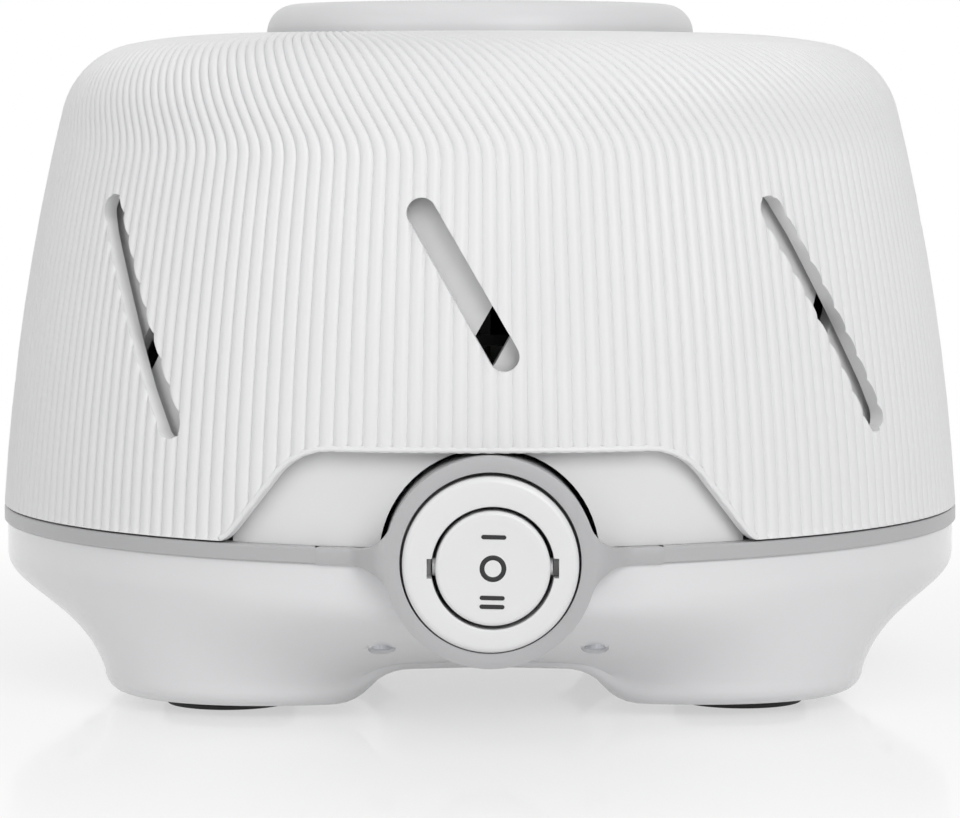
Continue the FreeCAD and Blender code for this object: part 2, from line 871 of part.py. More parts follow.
def lobed_wire(height, inset):
    """Give the base's plan at a height: a circle drawn in on its four sides."""
    side = d.base_radius.value - scoop(height, d.side_scoop, d.side_curve)
    corner = d.base_radius.value - scoop(height, d.corner_scoop, d.corner_curve)
    points = []
    for step in range(LOBE_POINTS):
        turn = 2 * math.pi * step / LOBE_POINTS
        radius = side + (corner - side) * math.sin(2 * turn) ** 2 - inset
        points.append(Vector(radius * math.sin(turn), -radius * math.cos(turn), height))
    curve = Part.BSplineCurve()
    curve.interpolate(points, PeriodicFlag=True)
    return Part.Wire([curve.toShape()])


def lobed_solid(name, heights, insets):
    """Loft the base's plans into a solid."""
    piece = doc.addObject("Part::Feature", name)
    wires = [lobed_wire(height, inset) for height, inset in zip(heights, insets)]
    piece.Shape = Part.makeLoft(wires, True, False)
    return piece


def arch_outline():
    """Give the arch between two feet: a level top, and an S-curve down on each side."""
    rise = d.arch_top - d.base_bottom + d.arch_overrun
    run = d.arch_reach - d.arch_flat
    bend = (run * run / 4 + rise * rise / 4) / rise
    foot = d.arch_top - rise
    middle_x = (d.arch_flat + d.arch_reach) / 2
    middle_z = d.arch_top - rise / 2
    under = -d.overrun
    return [
        (d.arch_flat, d.arch_top),
        (-d.arch_flat, d.arch_top),
        Arc(-d.arch_flat, d.arch_top - bend),
        (-middle_x, middle_z),
        Arc(-d.arch_reach, foot + bend, clockwise=True),
        (-d.arch_reach, foot),
        (-d.arch_reach, under),
        (d.arch_reach, under),
        (d.arch_reach, foot),
        Arc(d.arch_reach, foot + bend, clockwise=True),
        (middle_x, middle_z),
        Arc(d.arch_flat, d.arch_top - bend),
    ]


def foot_places():
    return [(d.foot_spacing * x, d.foot_spacing * y) for x in (-1, 1) for y in (-1, 1)]


def side_screw_places():
    """Give all the housing screws as (x, y), going round from the front."""
    places = []
    for quarter in range(4):
        for side in (-1, 1):
            turn = d.screw_azimuth * side + 90 * quarter
            places.append((d.screw_circle * sine(turn), -(d.screw_circle * cosine(turn))))
    return places


def post_places():
    """Give the motor's posts as (x, y)."""
    turns = [d.post_azimuth + size(360) / 3 * index for index in range(3)]
    return [(d.post_circle * cosine(turn), d.post_circle * sine(turn)) for turn in turns]


def levels_between(low, high, shares):
    return [low.value + (high.value - low.value) * share for share in shares]


def make_base(web):
    edge_top = d.base_bottom + d.under_round
    heights = levels_between(d.base_bottom, edge_top, UNDER_SHARES)
    heights += levels_between(edge_top, d.base_top, WALL_SHARES)
    outside = lobed_solid("base_outside", heights, [under_inset(height) for height in heights])
    heights = levels_between(d.base_floor, d.base_top + d.overrun, INSIDE_SHARES)
    inside = lobed_solid("base_inside", heights, [d.base_wall.value] * len(heights))
    post_height = d.post_height + d.overrun
    post_bottom = d.base_floor - d.overrun
    inner = [
        cylinder(f"motor_post_{index}", d.post_radius, post_height, x, y, post_bottom)
        for index, (x, y) in enumerate(post_places(), start=1)
    ]
    boss_height = d.drum_spigot_bottom - d.screw_boss_foot
    inner += [
        cylinder(f"boss_{index}", d.screw_boss, boss_height, x, y, d.screw_boss_foot)
        for index, (x, y) in enumerate(side_screw_places(), start=1)
    ]
    inner.append(
        cylinder(
            "gland_boss", d.gland_boss, d.gland_collar_back - d.gland_boss_inner,
            0, d.gland_boss_inner, d.gland_height, FACING_REAR,
        )
    )
    arches = []
    reach = d.waist_radius + d.overrun
    for name, turn in (("arch_front", 0), ("arch_side", 90)):
        body = new_body(name)
        pad(body, f"{name}_run", [arch_outline()], -reach, reach * 2, "XZ_Plane")
        body.Placement = Placement(Vector(), Rotation(Vector(0, 0, 1), turn))
        arches.append(body)
    hollow = cut("base_hollow", outside, inside)
    bosses = common("boss_rows", fuse("boss_blanks", inner[3:-1]), outside)
    filled = fuse("base_filled", [hollow, bosses, inner[-1]] + inner[:3])
    tools = arches
    for index, (x, y) in enumerate(foot_places(), start=1):
        depth = d.base_floor - d.foot_floor + d.overrun
        tools.append(cylinder(f"foot_pocket_{index}", d.foot_pocket, depth, x, y, d.foot_floor))
        stem = d.foot_stem + d.fit_gap
        tools.append(cylinder(f"foot_hole_{index}", stem, d.foot_floor + d.overrun, x, y, 0))
    well_depth = d.screw_seat - d.base_bottom
    way = d.screw_shank + d.fit_gap
    way_bottom = d.screw_seat - d.overrun
    way_height = d.drum_spigot_bottom - d.screw_seat + d.overrun * 2
    for index, (x, y) in enumerate(side_screw_places(), start=1):
        tools.append(cylinder(f"screw_well_{index}", d.screw_well, well_depth, x, y, d.base_bottom))
        tools.append(cylinder(f"screw_way_{index}", way, way_height, x, y, way_bottom))
    gland_way = d.gland_body + d.fit_gap
    tools.append(
        cylinder("gland_way", gland_way, d.gland_length, 0, d.gland_end, d.gland_height, FACING_REAR)
    )
    hole = d.mount_screw_radius + d.fit_gap
    hole_depth = d.mount_screw_depth + d.mount_hole_gap
    for index, (x, y) in enumerate(post_places(), start=1):
        bottom = d.post_top - hole_depth
        tools.append(cylinder(f"post_hole_{index}", hole, hole_depth + d.overrun, x, y, bottom))
    ring_way = d.ring_outer + d.fit_gap
    way_back = d.waist_radius - d.ring_way_depth
    tools.append(
        cylinder("ring_way", ring_way, d.ring_face - way_back, 0, -way_back, d.ring_centre, FACING_FRONT)
    )
    tools.append(web)
    node("base_shell", cut("base_shell", filled, fuse("base_cuts", tools)))
    for index, (x, y) in enumerate(foot_places(), start=1):
        body = new_body(f"rubber_foot_{index}")
        outline = [
            (0, 0), (d.foot_radius - d.foot_chamfer, 0), (d.foot_radius, d.foot_chamfer),
            (d.foot_radius, d.base_bottom),
            (d.foot_stem, d.base_bottom), (d.foot_stem, d.foot_floor), (0, d.foot_floor),
        ]
        revolve(body, "foot_turning", outline)
        node(f"rubber_foot_{index}", place(body, x, y))
    for index, (x, y) in enumerate(side_screw_places(), start=1):
        body = new_body(f"housing_screw_{index}")
        seat = d.screw_seat
        outline = [
            (0, seat - d.screw_head_thick), (d.screw_head, seat - d.screw_head_thick),
            (d.screw_head, seat), (d.screw_shank, seat), (d.screw_shank, d.screw_end),
            (0, d.screw_end),
        ]
        revolve(body, "screw_turning", outline)
        node(f"housing_screw_{index}", place(body, x, y))


# Trim band with its ring

def web_outline():
    """Give the web that blends the band into the ring, with a round at each meeting."""
    blend = d.trim_blend
    reach = d.ring_outer + blend
    points = []
    for level, side in ((d.trim_top, 1), (d.base_top, -1)):
        centre_y = level + blend * side
        rise = centre_y - d.ring_centre
        centre_x = root(reach * reach - rise * rise)
        share = d.ring_outer / reach
        touch = (centre_x * share, d.ring_centre + rise * share)
        points.append((centre_x, centre_y, touch, level))
    top, low = points
    return [
        (d.web_reach, top[3]),
        (top[0], top[3]),
        Arc(top[0], top[1], clockwise=True),
        top[2],
        (-top[2][0], top[2][1]),
        Arc(-top[0], top[1], clockwise=True),
        (-top[0], top[3]),
        (-d.web_reach, top[3]),
        (-d.web_reach, low[3]),
        (-low[0], low[3]),
        Arc(-low[0], low[1], clockwise=True),
        (-low[2][0], low[2][1]),
        low[2],
        Arc(low[0], low[1], clockwise=True),
        (low[0], low[3]),
        (d.web_reach, low[3]),
    ]


def make_trim():
    """Make the band, its web and its ring, and give the web for the base to be cut by."""
    inner = d.waist_radius - d.trim_wall
    band = new_body("trim_band")
    revolve(band, "band_turning", rectangle(inner, d.base_top, d.waist_radius, d.trim_top))
    sleeve = new_body("trim_sleeve")
    revolve(sleeve, "sleeve_turning", rectangle(inner, d.base_bottom, d.waist_radius, d.notch_top))
    web = new_body("trim_web_run")
    pad(web, "web_run", [web_outline()], d.web_reach, d.waist_radius, "XZ_Plane")
    ring = new_body("switch_ring")
    outline = [
        (d.ring_outer, d.ring_back), (d.ring_outer, d.ring_face), (d.ring_inner, d.ring_face),
        (d.ring_inner, d.ring_shelf), (d.barrel_radius + d.fit_gap, d.ring_shelf),
        (d.barrel_radius + d.fit_gap, d.ring_back),
    ]
    revolve(ring, "ring_turning", outline)
    place(ring, z=d.ring_centre, rotation=FACING_FRONT)
    opening_radius = d.ring_inner + d.overrun
    opening_depth = d.ring_face - d.ring_back
    opening = cylinder(
        "ring_opening", opening_radius, opening_depth, 0, -d.ring_back, d.ring_centre, FACING_FRONT
    )
    web_piece = common("trim_web", web, sleeve)
    plain = cut("trim_plain", fuse("trim_strip", [band, web_piece]), opening)
    node("trim_ring", fuse("trim_ring", [plain, ring]))
    return web


# Switch

def make_switch():
    bezel = new_body("switch_bezel_turned")
    outline = [
        (d.switch_bore, d.barrel_floor), (d.switch_bore, d.bezel_face),
        (d.bezel_radius - d.bezel_round, d.bezel_face),
        Arc(d.bezel_radius - d.bezel_round, d.bezel_face - d.bezel_round, clockwise=True),
        (d.bezel_radius, d.bezel_face - d.bezel_round), (d.bezel_radius, d.ring_shelf),
        (d.barrel_radius, d.ring_shelf), (d.barrel_radius, d.barrel_back), (0, d.barrel_back),
        (0, d.barrel_floor),
    ]
    revolve(bezel, "bezel_turning", outline)
    place(bezel, z=d.ring_centre, rotation=FACING_FRONT)
    gap = d.fit_gap
    pin = d.pivot_radius + gap
    notch = block(
        "pivot_notch",
        (-d.pivot_notch, -(d.bezel_face + d.overrun), d.ring_centre - pin),
        (d.pivot_notch, -(d.pivot_depth - pin), d.ring_centre + pin),
    )
    tools = [notch]
    half_width = d.terminal_width / 2
    half_thick = d.terminal_thick / 2
    for index, side in enumerate((-1, 0, 1), start=1):
        x = d.terminal_pitch * side
        low = (x - half_thick, -d.terminal_front, d.ring_centre - half_width)
        high = (x + half_thick, -d.terminal_back, d.ring_centre + half_width)
        node(f"switch_terminal_{index}", block(f"switch_terminal_{index}", low, high))
        low = (x - half_thick - gap, -d.terminal_front, d.ring_centre - half_width - gap)
        high = (x + half_thick + gap, -d.terminal_back, d.ring_centre + half_width + gap)
        tools.append(block(f"terminal_way_{index}", low, high))
    node("switch_bezel", cut("switch_bezel", bezel, fuse("bezel_cuts", tools)))

    paddle = new_body("rocker_paddle")
    outline = [
        (0, d.rocker_face), (0, d.rocker_back), (d.rocker_radius - d.rocker_taper, d.rocker_back),
        (d.rocker_radius, d.rocker_back + d.rocker_taper),
        (d.rocker_radius, d.rocker_face - d.rocker_edge),
        (d.rocker_radius - d.rocker_edge, d.rocker_face),
    ]
    revolve(paddle, "paddle_turning", outline)
    place(paddle, z=d.ring_centre, rotation=FACING_FRONT)
    pins = cylinder(
        "rocker_pins", d.pivot_radius, d.pivot_reach * 2,
        -d.pivot_reach, -d.pivot_depth, d.ring_centre, ALONG_X,
    )
    half = d.stem_side / 2
    stem = block(
        "rocker_stem",
        (-half, -(d.rocker_back + d.overrun), d.ring_centre - half),
        (half, -d.stem_end, d.ring_centre + half),
    )
    bore = cylinder(
        "plunger_bore", d.plunger_radius + gap, d.plunger_socket + gap + d.overrun,
        0, -(d.stem_end - d.overrun), d.ring_centre, FACING_FRONT,
    )
    face = d.rocker_face - d.mark_depth
    half_long = d.mark_length / 2
    half_wide = d.mark_width / 2
    marks = []
    rises = (d.mark_offset, -d.mark_offset, -(d.mark_offset + d.mark_pitch))
    for index, rise in enumerate(rises, start=1):
        middle = d.ring_centre + rise
        low = (-half_long, -(d.rocker_face + d.overrun), middle - half_wide)
        marks.append(block(f"mark_bar_{index}", low, (half_long, -face, middle + half_wide)))
    ring = new_body("mark_ring")
    outline = rectangle(d.mark_ring - d.mark_width, face, d.mark_ring, d.rocker_face + d.overrun)
    revolve(ring, "mark_turning", outline)
    marks.append(place(ring, z=d.ring_centre, rotation=FACING_FRONT))
    blank = fuse("rocker_blank", [paddle, pins, stem])
    node("rocker", cut("rocker", blank, fuse("rocker_cuts", marks + [bore])))
    node(
        "rocker_plunger",
        cylinder(
            "rocker_plunger", d.plunger_radius, d.plunger_depth - d.plunger_end,
            0, -d.plunger_end, d.ring_centre, FACING_FRONT,
        ),
    )


# Cap

def make_cap():
    cap = new_body("top_cap")
    skirt = d.cap_radius + d.cap_flare
    under = d.cap_top - d.cap_wall
    outline = [
        (0, d.cap_top),
        (d.cap_radius - d.cap_round, d.cap_top),
        Arc(d.cap_radius - d.cap_round, d.cap_top - d.cap_round, clockwise=True),
        (d.cap_radius, d.cap_top - d.cap_round),
        (skirt, d.cap_foot),
        (skirt - d.cap_wall, d.cap_foot),
        (d.cap_radius - d.cap_wall, d.cap_top - d.cap_round),
        Arc(d.cap_radius - d.cap_round, d.cap_top - d.cap_round),
        (d.cap_radius - d.cap_round, under),
        (d.cap_boss, under),
        (d.cap_boss, d.cap_foot),
        (d.cap_spigot, d.cap_foot),
        (d.cap_spigot, d.cap_spigot_end),
        (d.cap_screw_radius + d.fit_gap, d.cap_spigot_end),
        (d.cap_screw_radius + d.fit_gap, d.cap_screw_depth),
        (0, d.cap_screw_depth),
    ]
    revolve(cap, "cap_turning", outline)
    half = d.cap_window_width / 2
    window = rectangle(-half, d.cap_foot - d.overrun, half, d.cap_window_top)
    depth = d.cap_wall + d.overrun * 2
    first = pocket(cap, "cap_window", [window], skirt + d.overrun, depth, "XZ_Plane")
    polar(cap, "cap_windows", first, d.cap_window_count, size(360) / d.cap_window_count)
    node("top_cap", cap)

    shutter = new_body("cap_shutter")
    outline = rectangle(d.cap_spigot + d.fit_gap, d.shutter_bottom, d.shutter_radius, d.cap_foot)
    revolve(shutter, "shutter_turning", outline)
    cut_vents(shutter, d.cap_foot, d.shutter_thick)
    node("cap_shutter", shutter)

    washer = new_body("cap_washer")
    outline = rectangle(
        d.cap_screw_radius + d.fit_gap, d.cap_washer_bottom, d.cap_washer_radius, d.cap_spigot_end
    )
    revolve(washer, "washer_turning", outline)
    node("cap_washer", washer)

    screw = new_body("cap_screw")
    screw_tip = d.cap_screw_depth - d.cap_screw_tip
    outline = [
        (0, d.cap_screw_end), (d.cap_screw_head, d.cap_screw_end),
        (d.cap_screw_head, d.cap_washer_bottom), (d.cap_screw_radius, d.cap_washer_bottom),
        (d.cap_screw_radius, screw_tip), (0, screw_tip),
    ]
    revolve(screw, "screw_turning", outline)
    node("cap_screw", screw)


# Motor

def make_motor_mount():
    places = post_places()
    plate = new_body("motor_plate")
    screw_way = d.mount_screw_radius + d.fit_gap
    shaft_way = Circle(0, 0, d.bearing_radius)
    outlines = [Circle(0, 0, d.plate_radius), shaft_way]
    outlines += [Circle(x, y, screw_way) for x, y in places]
    pad(plate, "plate_blank", outlines, d.plate_bottom, d.plate_thick)
    node("motor_plate", plate)
    for index, (x, y) in enumerate(places, start=1):
        grommet = new_body(f"motor_grommet_{index}")
        waist = d.post_radius - d.grommet_waist
        third = d.grommet_height / 3
        outline = [
            (screw_way, d.post_top), (d.post_radius, d.post_top), (d.post_radius, d.post_top + third),
            (waist, d.post_top + third), (waist, d.plate_bottom - third),
            (d.post_radius, d.plate_bottom - third), (d.post_radius, d.plate_bottom),
            (screw_way, d.plate_bottom),
        ]
        revolve(grommet, "grommet_turning", outline)
        node(f"motor_grommet_{index}", place(grommet, x, y))
        screw = new_body(f"motor_screw_{index}")
        end = d.post_top - d.mount_screw_depth
        head_top = d.plate_top + d.mount_screw_head_thick
        outline = [
            (0, end), (d.mount_screw_radius, end), (d.mount_screw_radius, d.plate_top),
            (d.mount_screw_head, d.plate_top), (d.mount_screw_head, head_top), (0, head_top),
        ]
        revolve(screw, "screw_turning", outline)
        node(f"motor_screw_{index}", place(screw, x, y))


def grown(corners, margin):
    """Give a rectangle's corner values with a margin added on every side."""
    return (corners[0] - margin, corners[1] - margin, corners[2] + margin, corners[3] + margin)


def make_stator():
    screw_x = d.core_half_width - d.bracket_leg / 2
    screw_way = d.bracket_screw_radius + d.fit_gap
    core = new_body("stator_core")
    outlines = [
        rectangle(-d.core_half_width, -d.core_front, d.core_half_width, d.core_rear),
        rectangle(-d.window_half, d.window_front, d.window_half, d.leg_front),
        Circle(0, 0, d.core_bore),
        Circle(-screw_x, 0, screw_way),
        Circle(screw_x, 0, screw_way),
    ]
    pad(core, "core_stack", outlines, d.core_bottom, d.core_thick)
    node("stator_core", core)

    # The bobbin and coil run along X round the core's rear leg
    leg = grown((d.leg_front, d.core_bottom, d.core_rear, d.core_top), d.coil_gap)
    tube = grown(leg, d.bobbin_wall)
    wind = grown(tube, d.coil_depth)
    rim = grown(wind, d.flange_lip)
    inside = d.bobbin_half - d.bobbin_flange
    bobbin = new_body("coil_bobbin")
    pad(bobbin, "bobbin_tube", [rectangle(*tube), rectangle(*leg)], -inside, inside * 2, "YZ_Plane")
    for index, start in enumerate((-d.bobbin_half, inside), start=1):
        flange = [rectangle(*rim), rectangle(*leg)]
        pad(bobbin, f"bobbin_flange_{index}", flange, start, d.bobbin_flange, "YZ_Plane")
    node("coil_bobbin", bobbin)
    coil = new_body("coil_winding")
    pad(coil, "coil_turns", [rectangle(*wind), rectangle(*tube)], -inside, inside * 2, "YZ_Plane")
    node("coil_winding", coil)

    # A bracket's far and near faces, its seat on the core, and its lowest and highest levels
    levels = {
        "lower_bracket": (
            d.plate_top, d.plate_top + d.bracket_thick, d.core_bottom, d.plate_top, d.core_bottom,
        ),
        "upper_bracket": (
            d.bracket_top, d.bracket_top - d.bracket_thick, d.core_top, d.core_top, d.bracket_top,
        ),
    }
    outer = d.core_half_width
    inner = outer - d.bracket_leg
    width = d.bracket_half_width
    for name, (far, near, seat, low, high) in levels.items():
        bracket = new_body(name)
        outline = [
            (-outer, seat), (-inner, seat), (-inner, near), (inner, near),
            (inner, seat), (outer, seat), (outer, far), (-outer, far),
        ]
        pad(bracket, "bracket_bend", [outline], -width, width * 2, "XZ_Plane")
        holes = [Circle(screw_x * side, 0, screw_way) for side in (-1, 1)]
        holes.append(Circle(0, 0, d.bearing_radius))
        pocket(bracket, "bracket_holes", holes, high + d.overrun, high - low + d.overrun * 2)
        node(name, bracket)

    washer = d.washer_thick + d.running_gap
    bearings = {
        "lower_bearing": (d.plate_top, d.core_bottom - washer),
        "upper_bearing": (d.core_top + washer, d.bracket_top),
    }
    for name, (bottom, top) in bearings.items():
        bearing = new_body(name)
        bore = d.shaft_radius + d.fit_gap
        revolve(bearing, "bearing_turning", rectangle(bore, bottom, d.bearing_radius, top))
        node(name, bearing)
    head_top = d.bracket_top + d.bracket_screw_head_thick
    for index, side in enumerate((-1, 1), start=1):
        screw = new_body(f"bracket_screw_{index}")
        outline = [
            (0, d.plate_top), (d.bracket_screw_radius, d.plate_top),
            (d.bracket_screw_radius, d.bracket_top), (d.bracket_screw_head, d.bracket_top),
            (d.bracket_screw_head, head_top), (0, head_top),
        ]
        revolve(screw, "screw_turning", outline)
        node(f"bracket_screw_{index}", place(screw, screw_x * side, 0))


def make_rotor():
    shaft = new_body("rotor_shaft")
    revolve(shaft, "shaft_turning", rectangle(0, d.shaft_bottom, d.shaft_radius, d.shaft_top))
    node("rotor_shaft", shaft)
    rings = {
        "rotor_core": (d.core_bottom, d.core_top, d.rotor_radius),
        "thrust_washer_low": (d.core_bottom - d.washer_thick, d.core_bottom, d.washer_radius),
        "thrust_washer_high": (d.core_top, d.core_top + d.washer_thick, d.washer_radius),
        "fan_clip": (d.fan_hub_top, d.fan_hub_top + d.clip_thick, d.clip_radius),
    }
    for name, (bottom, top, radius) in rings.items():
        ring = new_body(name)
        revolve(ring, f"{name}_turning", rectangle(d.shaft_radius, bottom, radius, top))
        node(name, ring)


def make_fan():
    fan = new_body("fan_wheel")
    disc_top = d.fan_bottom + d.fan_disc
    outline = [
        (d.shaft_radius, d.fan_bottom), (d.fan_radius, d.fan_bottom), (d.fan_radius, disc_top),
        (d.fan_hub, disc_top), (d.fan_hub, d.fan_hub_top), (d.shaft_radius, d.fan_hub_top),
    ]
    revolve(fan, "fan_disc_turning", outline)
    half = d.blade_thick / 2
    blade = rectangle(-half, d.blade_inner, half, d.fan_radius - d.blade_inset)
    root_level = disc_top - d.blade_root
    first = pad(fan, "fan_blade", [blade], root_level, d.blade_top - root_level)
    polar(fan, "fan_blades", first, d.blade_count, size(360) / d.blade_count)
    half_ring = d.fan_ring_height / 2
    ring = rectangle(
        d.fan_radius - d.fan_ring_wall, d.blade_top - half_ring, d.fan_radius, d.blade_top + half_ring
    )
    revolve(fan, "fan_ring_turning", ring)
    node("fan_wheel", fan)


# Gland and leads

def make_gland():
    gland = new_body("cord_gland")
    outline = [
        (d.gland_bore, d.gland_end), (d.gland_bore, d.gland_face), (d.gland_collar, d.gland_face),
        (d.gland_collar, d.gland_collar_back), (d.gland_body, d.gland_collar_back),
        (d.gland_body, d.gland_end),
    ]
    revolve(gland, "gland_turning", outline)
    node("cord_gland", place(gland, z=d.gland_height, rotation=FACING_REAR))


def lead_path(points):
    """Join straight runs with tangent arcs as wide as the shorter run beside each allows."""
    edges = []
    start = points[0]
    for before, corner, after in zip(points, points[1:], points[2:]):
        towards = (corner - before).normalize()
        away = (after - corner).normalize()
        turn = towards.getAngle(away)
        set_back = BEND_SHARE * min((corner - before).Length, (after - corner).Length)
        radius = set_back / math.tan(turn / 2)
        first = corner - towards * set_back
        last = corner + away * set_back
        inward = (away - towards).normalize()
        middle = corner + inward * (radius / math.cos(turn / 2) - radius)
        edges.append(Part.LineSegment(start, first).toShape())
        edges.append(Part.Arc(first, middle, last).toShape())
        start = last
    edges.append(Part.LineSegment(start, points[-1]).toShape())
    return Part.Wire(edges)


def make_lead(name, points):
    """Sweep one insulated lead and compare its volume with its section times its length."""
    path = lead_path(points)
    radius = d.lead_radius.value
    section = Part.Wire([Part.makeCircle(radius, points[0], points[1] - points[0])])
    tube = path.makePipeShell([section], True, True)
    expected = math.pi * radius ** 2 * path.Length
    if abs(tube.Volume / expected - 1) > 0.01:
        raise RuntimeError(f"{name} has the wrong volume")
    piece = doc.addObject("Part::Feature", name)
    piece.Shape = tube
    node(name, piece)


def make_leads():
    """Run the leads from the terminals to the coil and the gland, each end square to its seat."""
    switch = d.ring_centre.value
    pitch = d.terminal_pitch.value
    terminal = -(d.terminal_back - d.running_gap).value
    after_terminal = -(d.terminal_back - d.lead_straight).value
    flange = (d.bobbin_half + d.running_gap).value
    before_flange = (d.bobbin_half + d.lead_straight).value
    gland = d.gland_height.value
    inlet = (d.gland_end - d.running_gap).value
    after_inlet = (d.gland_end - d.lead_straight).value
    side = d.lead_offset.value
    make_lead("lead_low_speed", [
        Vector(-pitch, terminal, switch), Vector(-pitch, after_terminal, switch),
        Vector(-32, -22, 21), Vector(-33, 12, 20.5), Vector(-26, 31, 21),
        Vector(-before_flange, 32, 22), Vector(-flange, 32, 22),
    ])
    make_lead("lead_high_speed", [
        Vector(0, terminal, switch), Vector(0, after_terminal, switch), Vector(-24, -22, 23.6),
        Vector(-27, 4, 23.4), Vector(-22, 20, 23), Vector(-before_flange, 24, 22),
        Vector(-flange, 24, 22),
    ])
    make_lead("lead_supply", [
        Vector(side, inlet, gland), Vector(side, after_inlet, gland), Vector(33, 44, 14),
        Vector(49, 12, 15), Vector(43, -20, 19), Vector(pitch, after_terminal, switch),
        Vector(pitch, terminal, switch),
    ])
    make_lead("lead_neutral", [
        Vector(-side, inlet, gland), Vector(-side, after_inlet - d.lead_straight.value, gland),
        Vector(16, 47, 20), Vector(23, 39, 22), Vector(before_flange, 32, 22),
        Vector(flange, 32, 22),
    ])


web = make_trim()
make_base(web)
make_drum()
make_shell()
make_switch()
make_cap()
make_motor_mount()
make_stator()
make_rotor()
make_fan()
make_gland()
make_leads()
doc.recompute()

for item in doc.Objects:
    if "Invalid" in item.State or "Error" in item.State:
        raise RuntimeError(f"{item.Name} failed: {item.State}")
for name, piece in nodes.items():
    if piece.Shape.isNull() or not piece.Shape.isValid() or not piece.Shape.Solids:
        raise RuntimeError(f"{name} is not a valid solid")

os.makedirs("parts", exist_ok=True)
for name, piece in nodes.items():
    piece.Shape.exportStep(f"parts/{name}.step")
print(f"{len(nodes)} nodes")
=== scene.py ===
"""White noise sound machine: ribbed turning shell, slotted drum, turning cap, rocker switch.

Metres, +Z up, the table at z = 0, the switch toward -Y. Azimuths are measured from the front
toward +X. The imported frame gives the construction, and this file dresses it.
"""
import json
import logging
import math
from dataclasses import dataclass
from enum import Enum
from functools import cache
from typing import Callable, Sequence

import bpy
from mathutils import Matrix, Vector


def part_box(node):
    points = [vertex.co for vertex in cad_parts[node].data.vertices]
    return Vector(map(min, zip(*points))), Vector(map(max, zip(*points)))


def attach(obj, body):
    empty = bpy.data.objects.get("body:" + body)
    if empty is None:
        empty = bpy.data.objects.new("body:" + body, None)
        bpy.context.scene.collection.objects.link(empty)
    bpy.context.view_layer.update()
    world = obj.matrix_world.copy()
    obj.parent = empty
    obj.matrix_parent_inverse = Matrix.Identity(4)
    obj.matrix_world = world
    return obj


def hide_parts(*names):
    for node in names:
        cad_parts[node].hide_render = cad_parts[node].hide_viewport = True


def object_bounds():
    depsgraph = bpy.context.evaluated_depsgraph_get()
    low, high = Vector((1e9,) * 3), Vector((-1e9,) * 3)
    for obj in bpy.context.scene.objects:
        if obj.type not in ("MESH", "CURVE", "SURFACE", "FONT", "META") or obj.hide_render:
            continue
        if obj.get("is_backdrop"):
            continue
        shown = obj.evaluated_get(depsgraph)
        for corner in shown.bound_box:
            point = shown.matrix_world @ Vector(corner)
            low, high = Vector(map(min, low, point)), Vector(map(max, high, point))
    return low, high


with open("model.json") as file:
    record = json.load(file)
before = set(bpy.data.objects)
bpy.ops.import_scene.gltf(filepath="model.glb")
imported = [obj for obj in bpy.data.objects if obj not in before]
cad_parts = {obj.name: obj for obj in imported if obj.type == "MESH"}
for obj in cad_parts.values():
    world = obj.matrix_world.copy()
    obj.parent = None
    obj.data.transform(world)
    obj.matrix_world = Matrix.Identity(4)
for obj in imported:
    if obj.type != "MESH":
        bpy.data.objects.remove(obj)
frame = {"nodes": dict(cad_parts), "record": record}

CAD_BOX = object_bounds()
MM = 0.001
# How near two points are that become one: in general, on a grid's seam, and on a turned piece's pole
MERGE = 0.001 * MM
GRID_MERGE = 0.0001 * MM
LATHE_MERGE = 0.002 * MM
FACING_FRONT = Matrix.Rotation(math.radians(90), 4, "X")
LOG = logging.getLogger("sound_machine")
Piece = bpy.types.Object
Flat = tuple[float, float]
Triple = tuple[float, float, float]


class Body(Enum):
    """The bodies that pieces ride on."""

    BASE = "base"
    SHELL = "shell"
    CAP = "cap"
    ROCKER = "rocker"


# Mesh tools

def deselect() -> None:
    """Leave nothing selected and no piece in edit mode."""
    if bpy.context.object and bpy.context.object.mode != "OBJECT":
        bpy.ops.object.mode_set(mode="OBJECT")
    bpy.ops.object.select_all(action="DESELECT")


def activate(piece: Piece) -> None:
    """Make a piece the only selected and active one.

    Args:
        piece: the piece.
    """
    deselect()
    piece.select_set(True)
    bpy.context.view_layer.objects.active = piece


def merge(piece: Piece, near: float = MERGE) -> None:
    """Merge a mesh's doubles and turn its faces outward.

    Args:
        piece: the mesh object.
        near: how near two points are that become one.
    """
    activate(piece)
    bpy.ops.object.mode_set(mode="EDIT")
    bpy.ops.mesh.select_all(action="SELECT")
    bpy.ops.mesh.remove_doubles(threshold=near)
    bpy.ops.mesh.normals_make_consistent(inside=False)
    bpy.ops.object.mode_set(mode="OBJECT")


def use_modifier(piece: Piece, kind: str, **settings: object) -> None:
    """Add a modifier and apply it at once.

    Args:
        piece: the mesh object.
        kind: the modifier's type.
        **settings: the modifier's own properties.
    """
    activate(piece)
    modifier = piece.modifiers.new(kind.lower(), kind)
    for name, value in settings.items():
        setattr(modifier, name, value)
    bpy.ops.object.modifier_apply(modifier=modifier.name)


def join(pieces: Sequence[Piece], name: str) -> Piece:
    """Join pieces into one mesh.

    Args:
        pieces: the mesh objects, at least one.
        name: the joined object's name.

    Returns:
        The joined object.
    """
    deselect()
    for piece in pieces:
        piece.select_set(True)
    bpy.context.view_layer.objects.active = pieces[0]
    bpy.ops.object.join()
    pieces[0].name = name
    pieces[0].data.name = name
    return pieces[0]


def subtract(piece: Piece, cutter: Piece, solver: str = "MANIFOLD") -> None:
    """Cut a piece by another, and remove the cutter."""
    use_modifier(piece, "BOOLEAN", operation="DIFFERENCE", object=cutter, solver=solver)
    bpy.data.objects.remove(cutter)


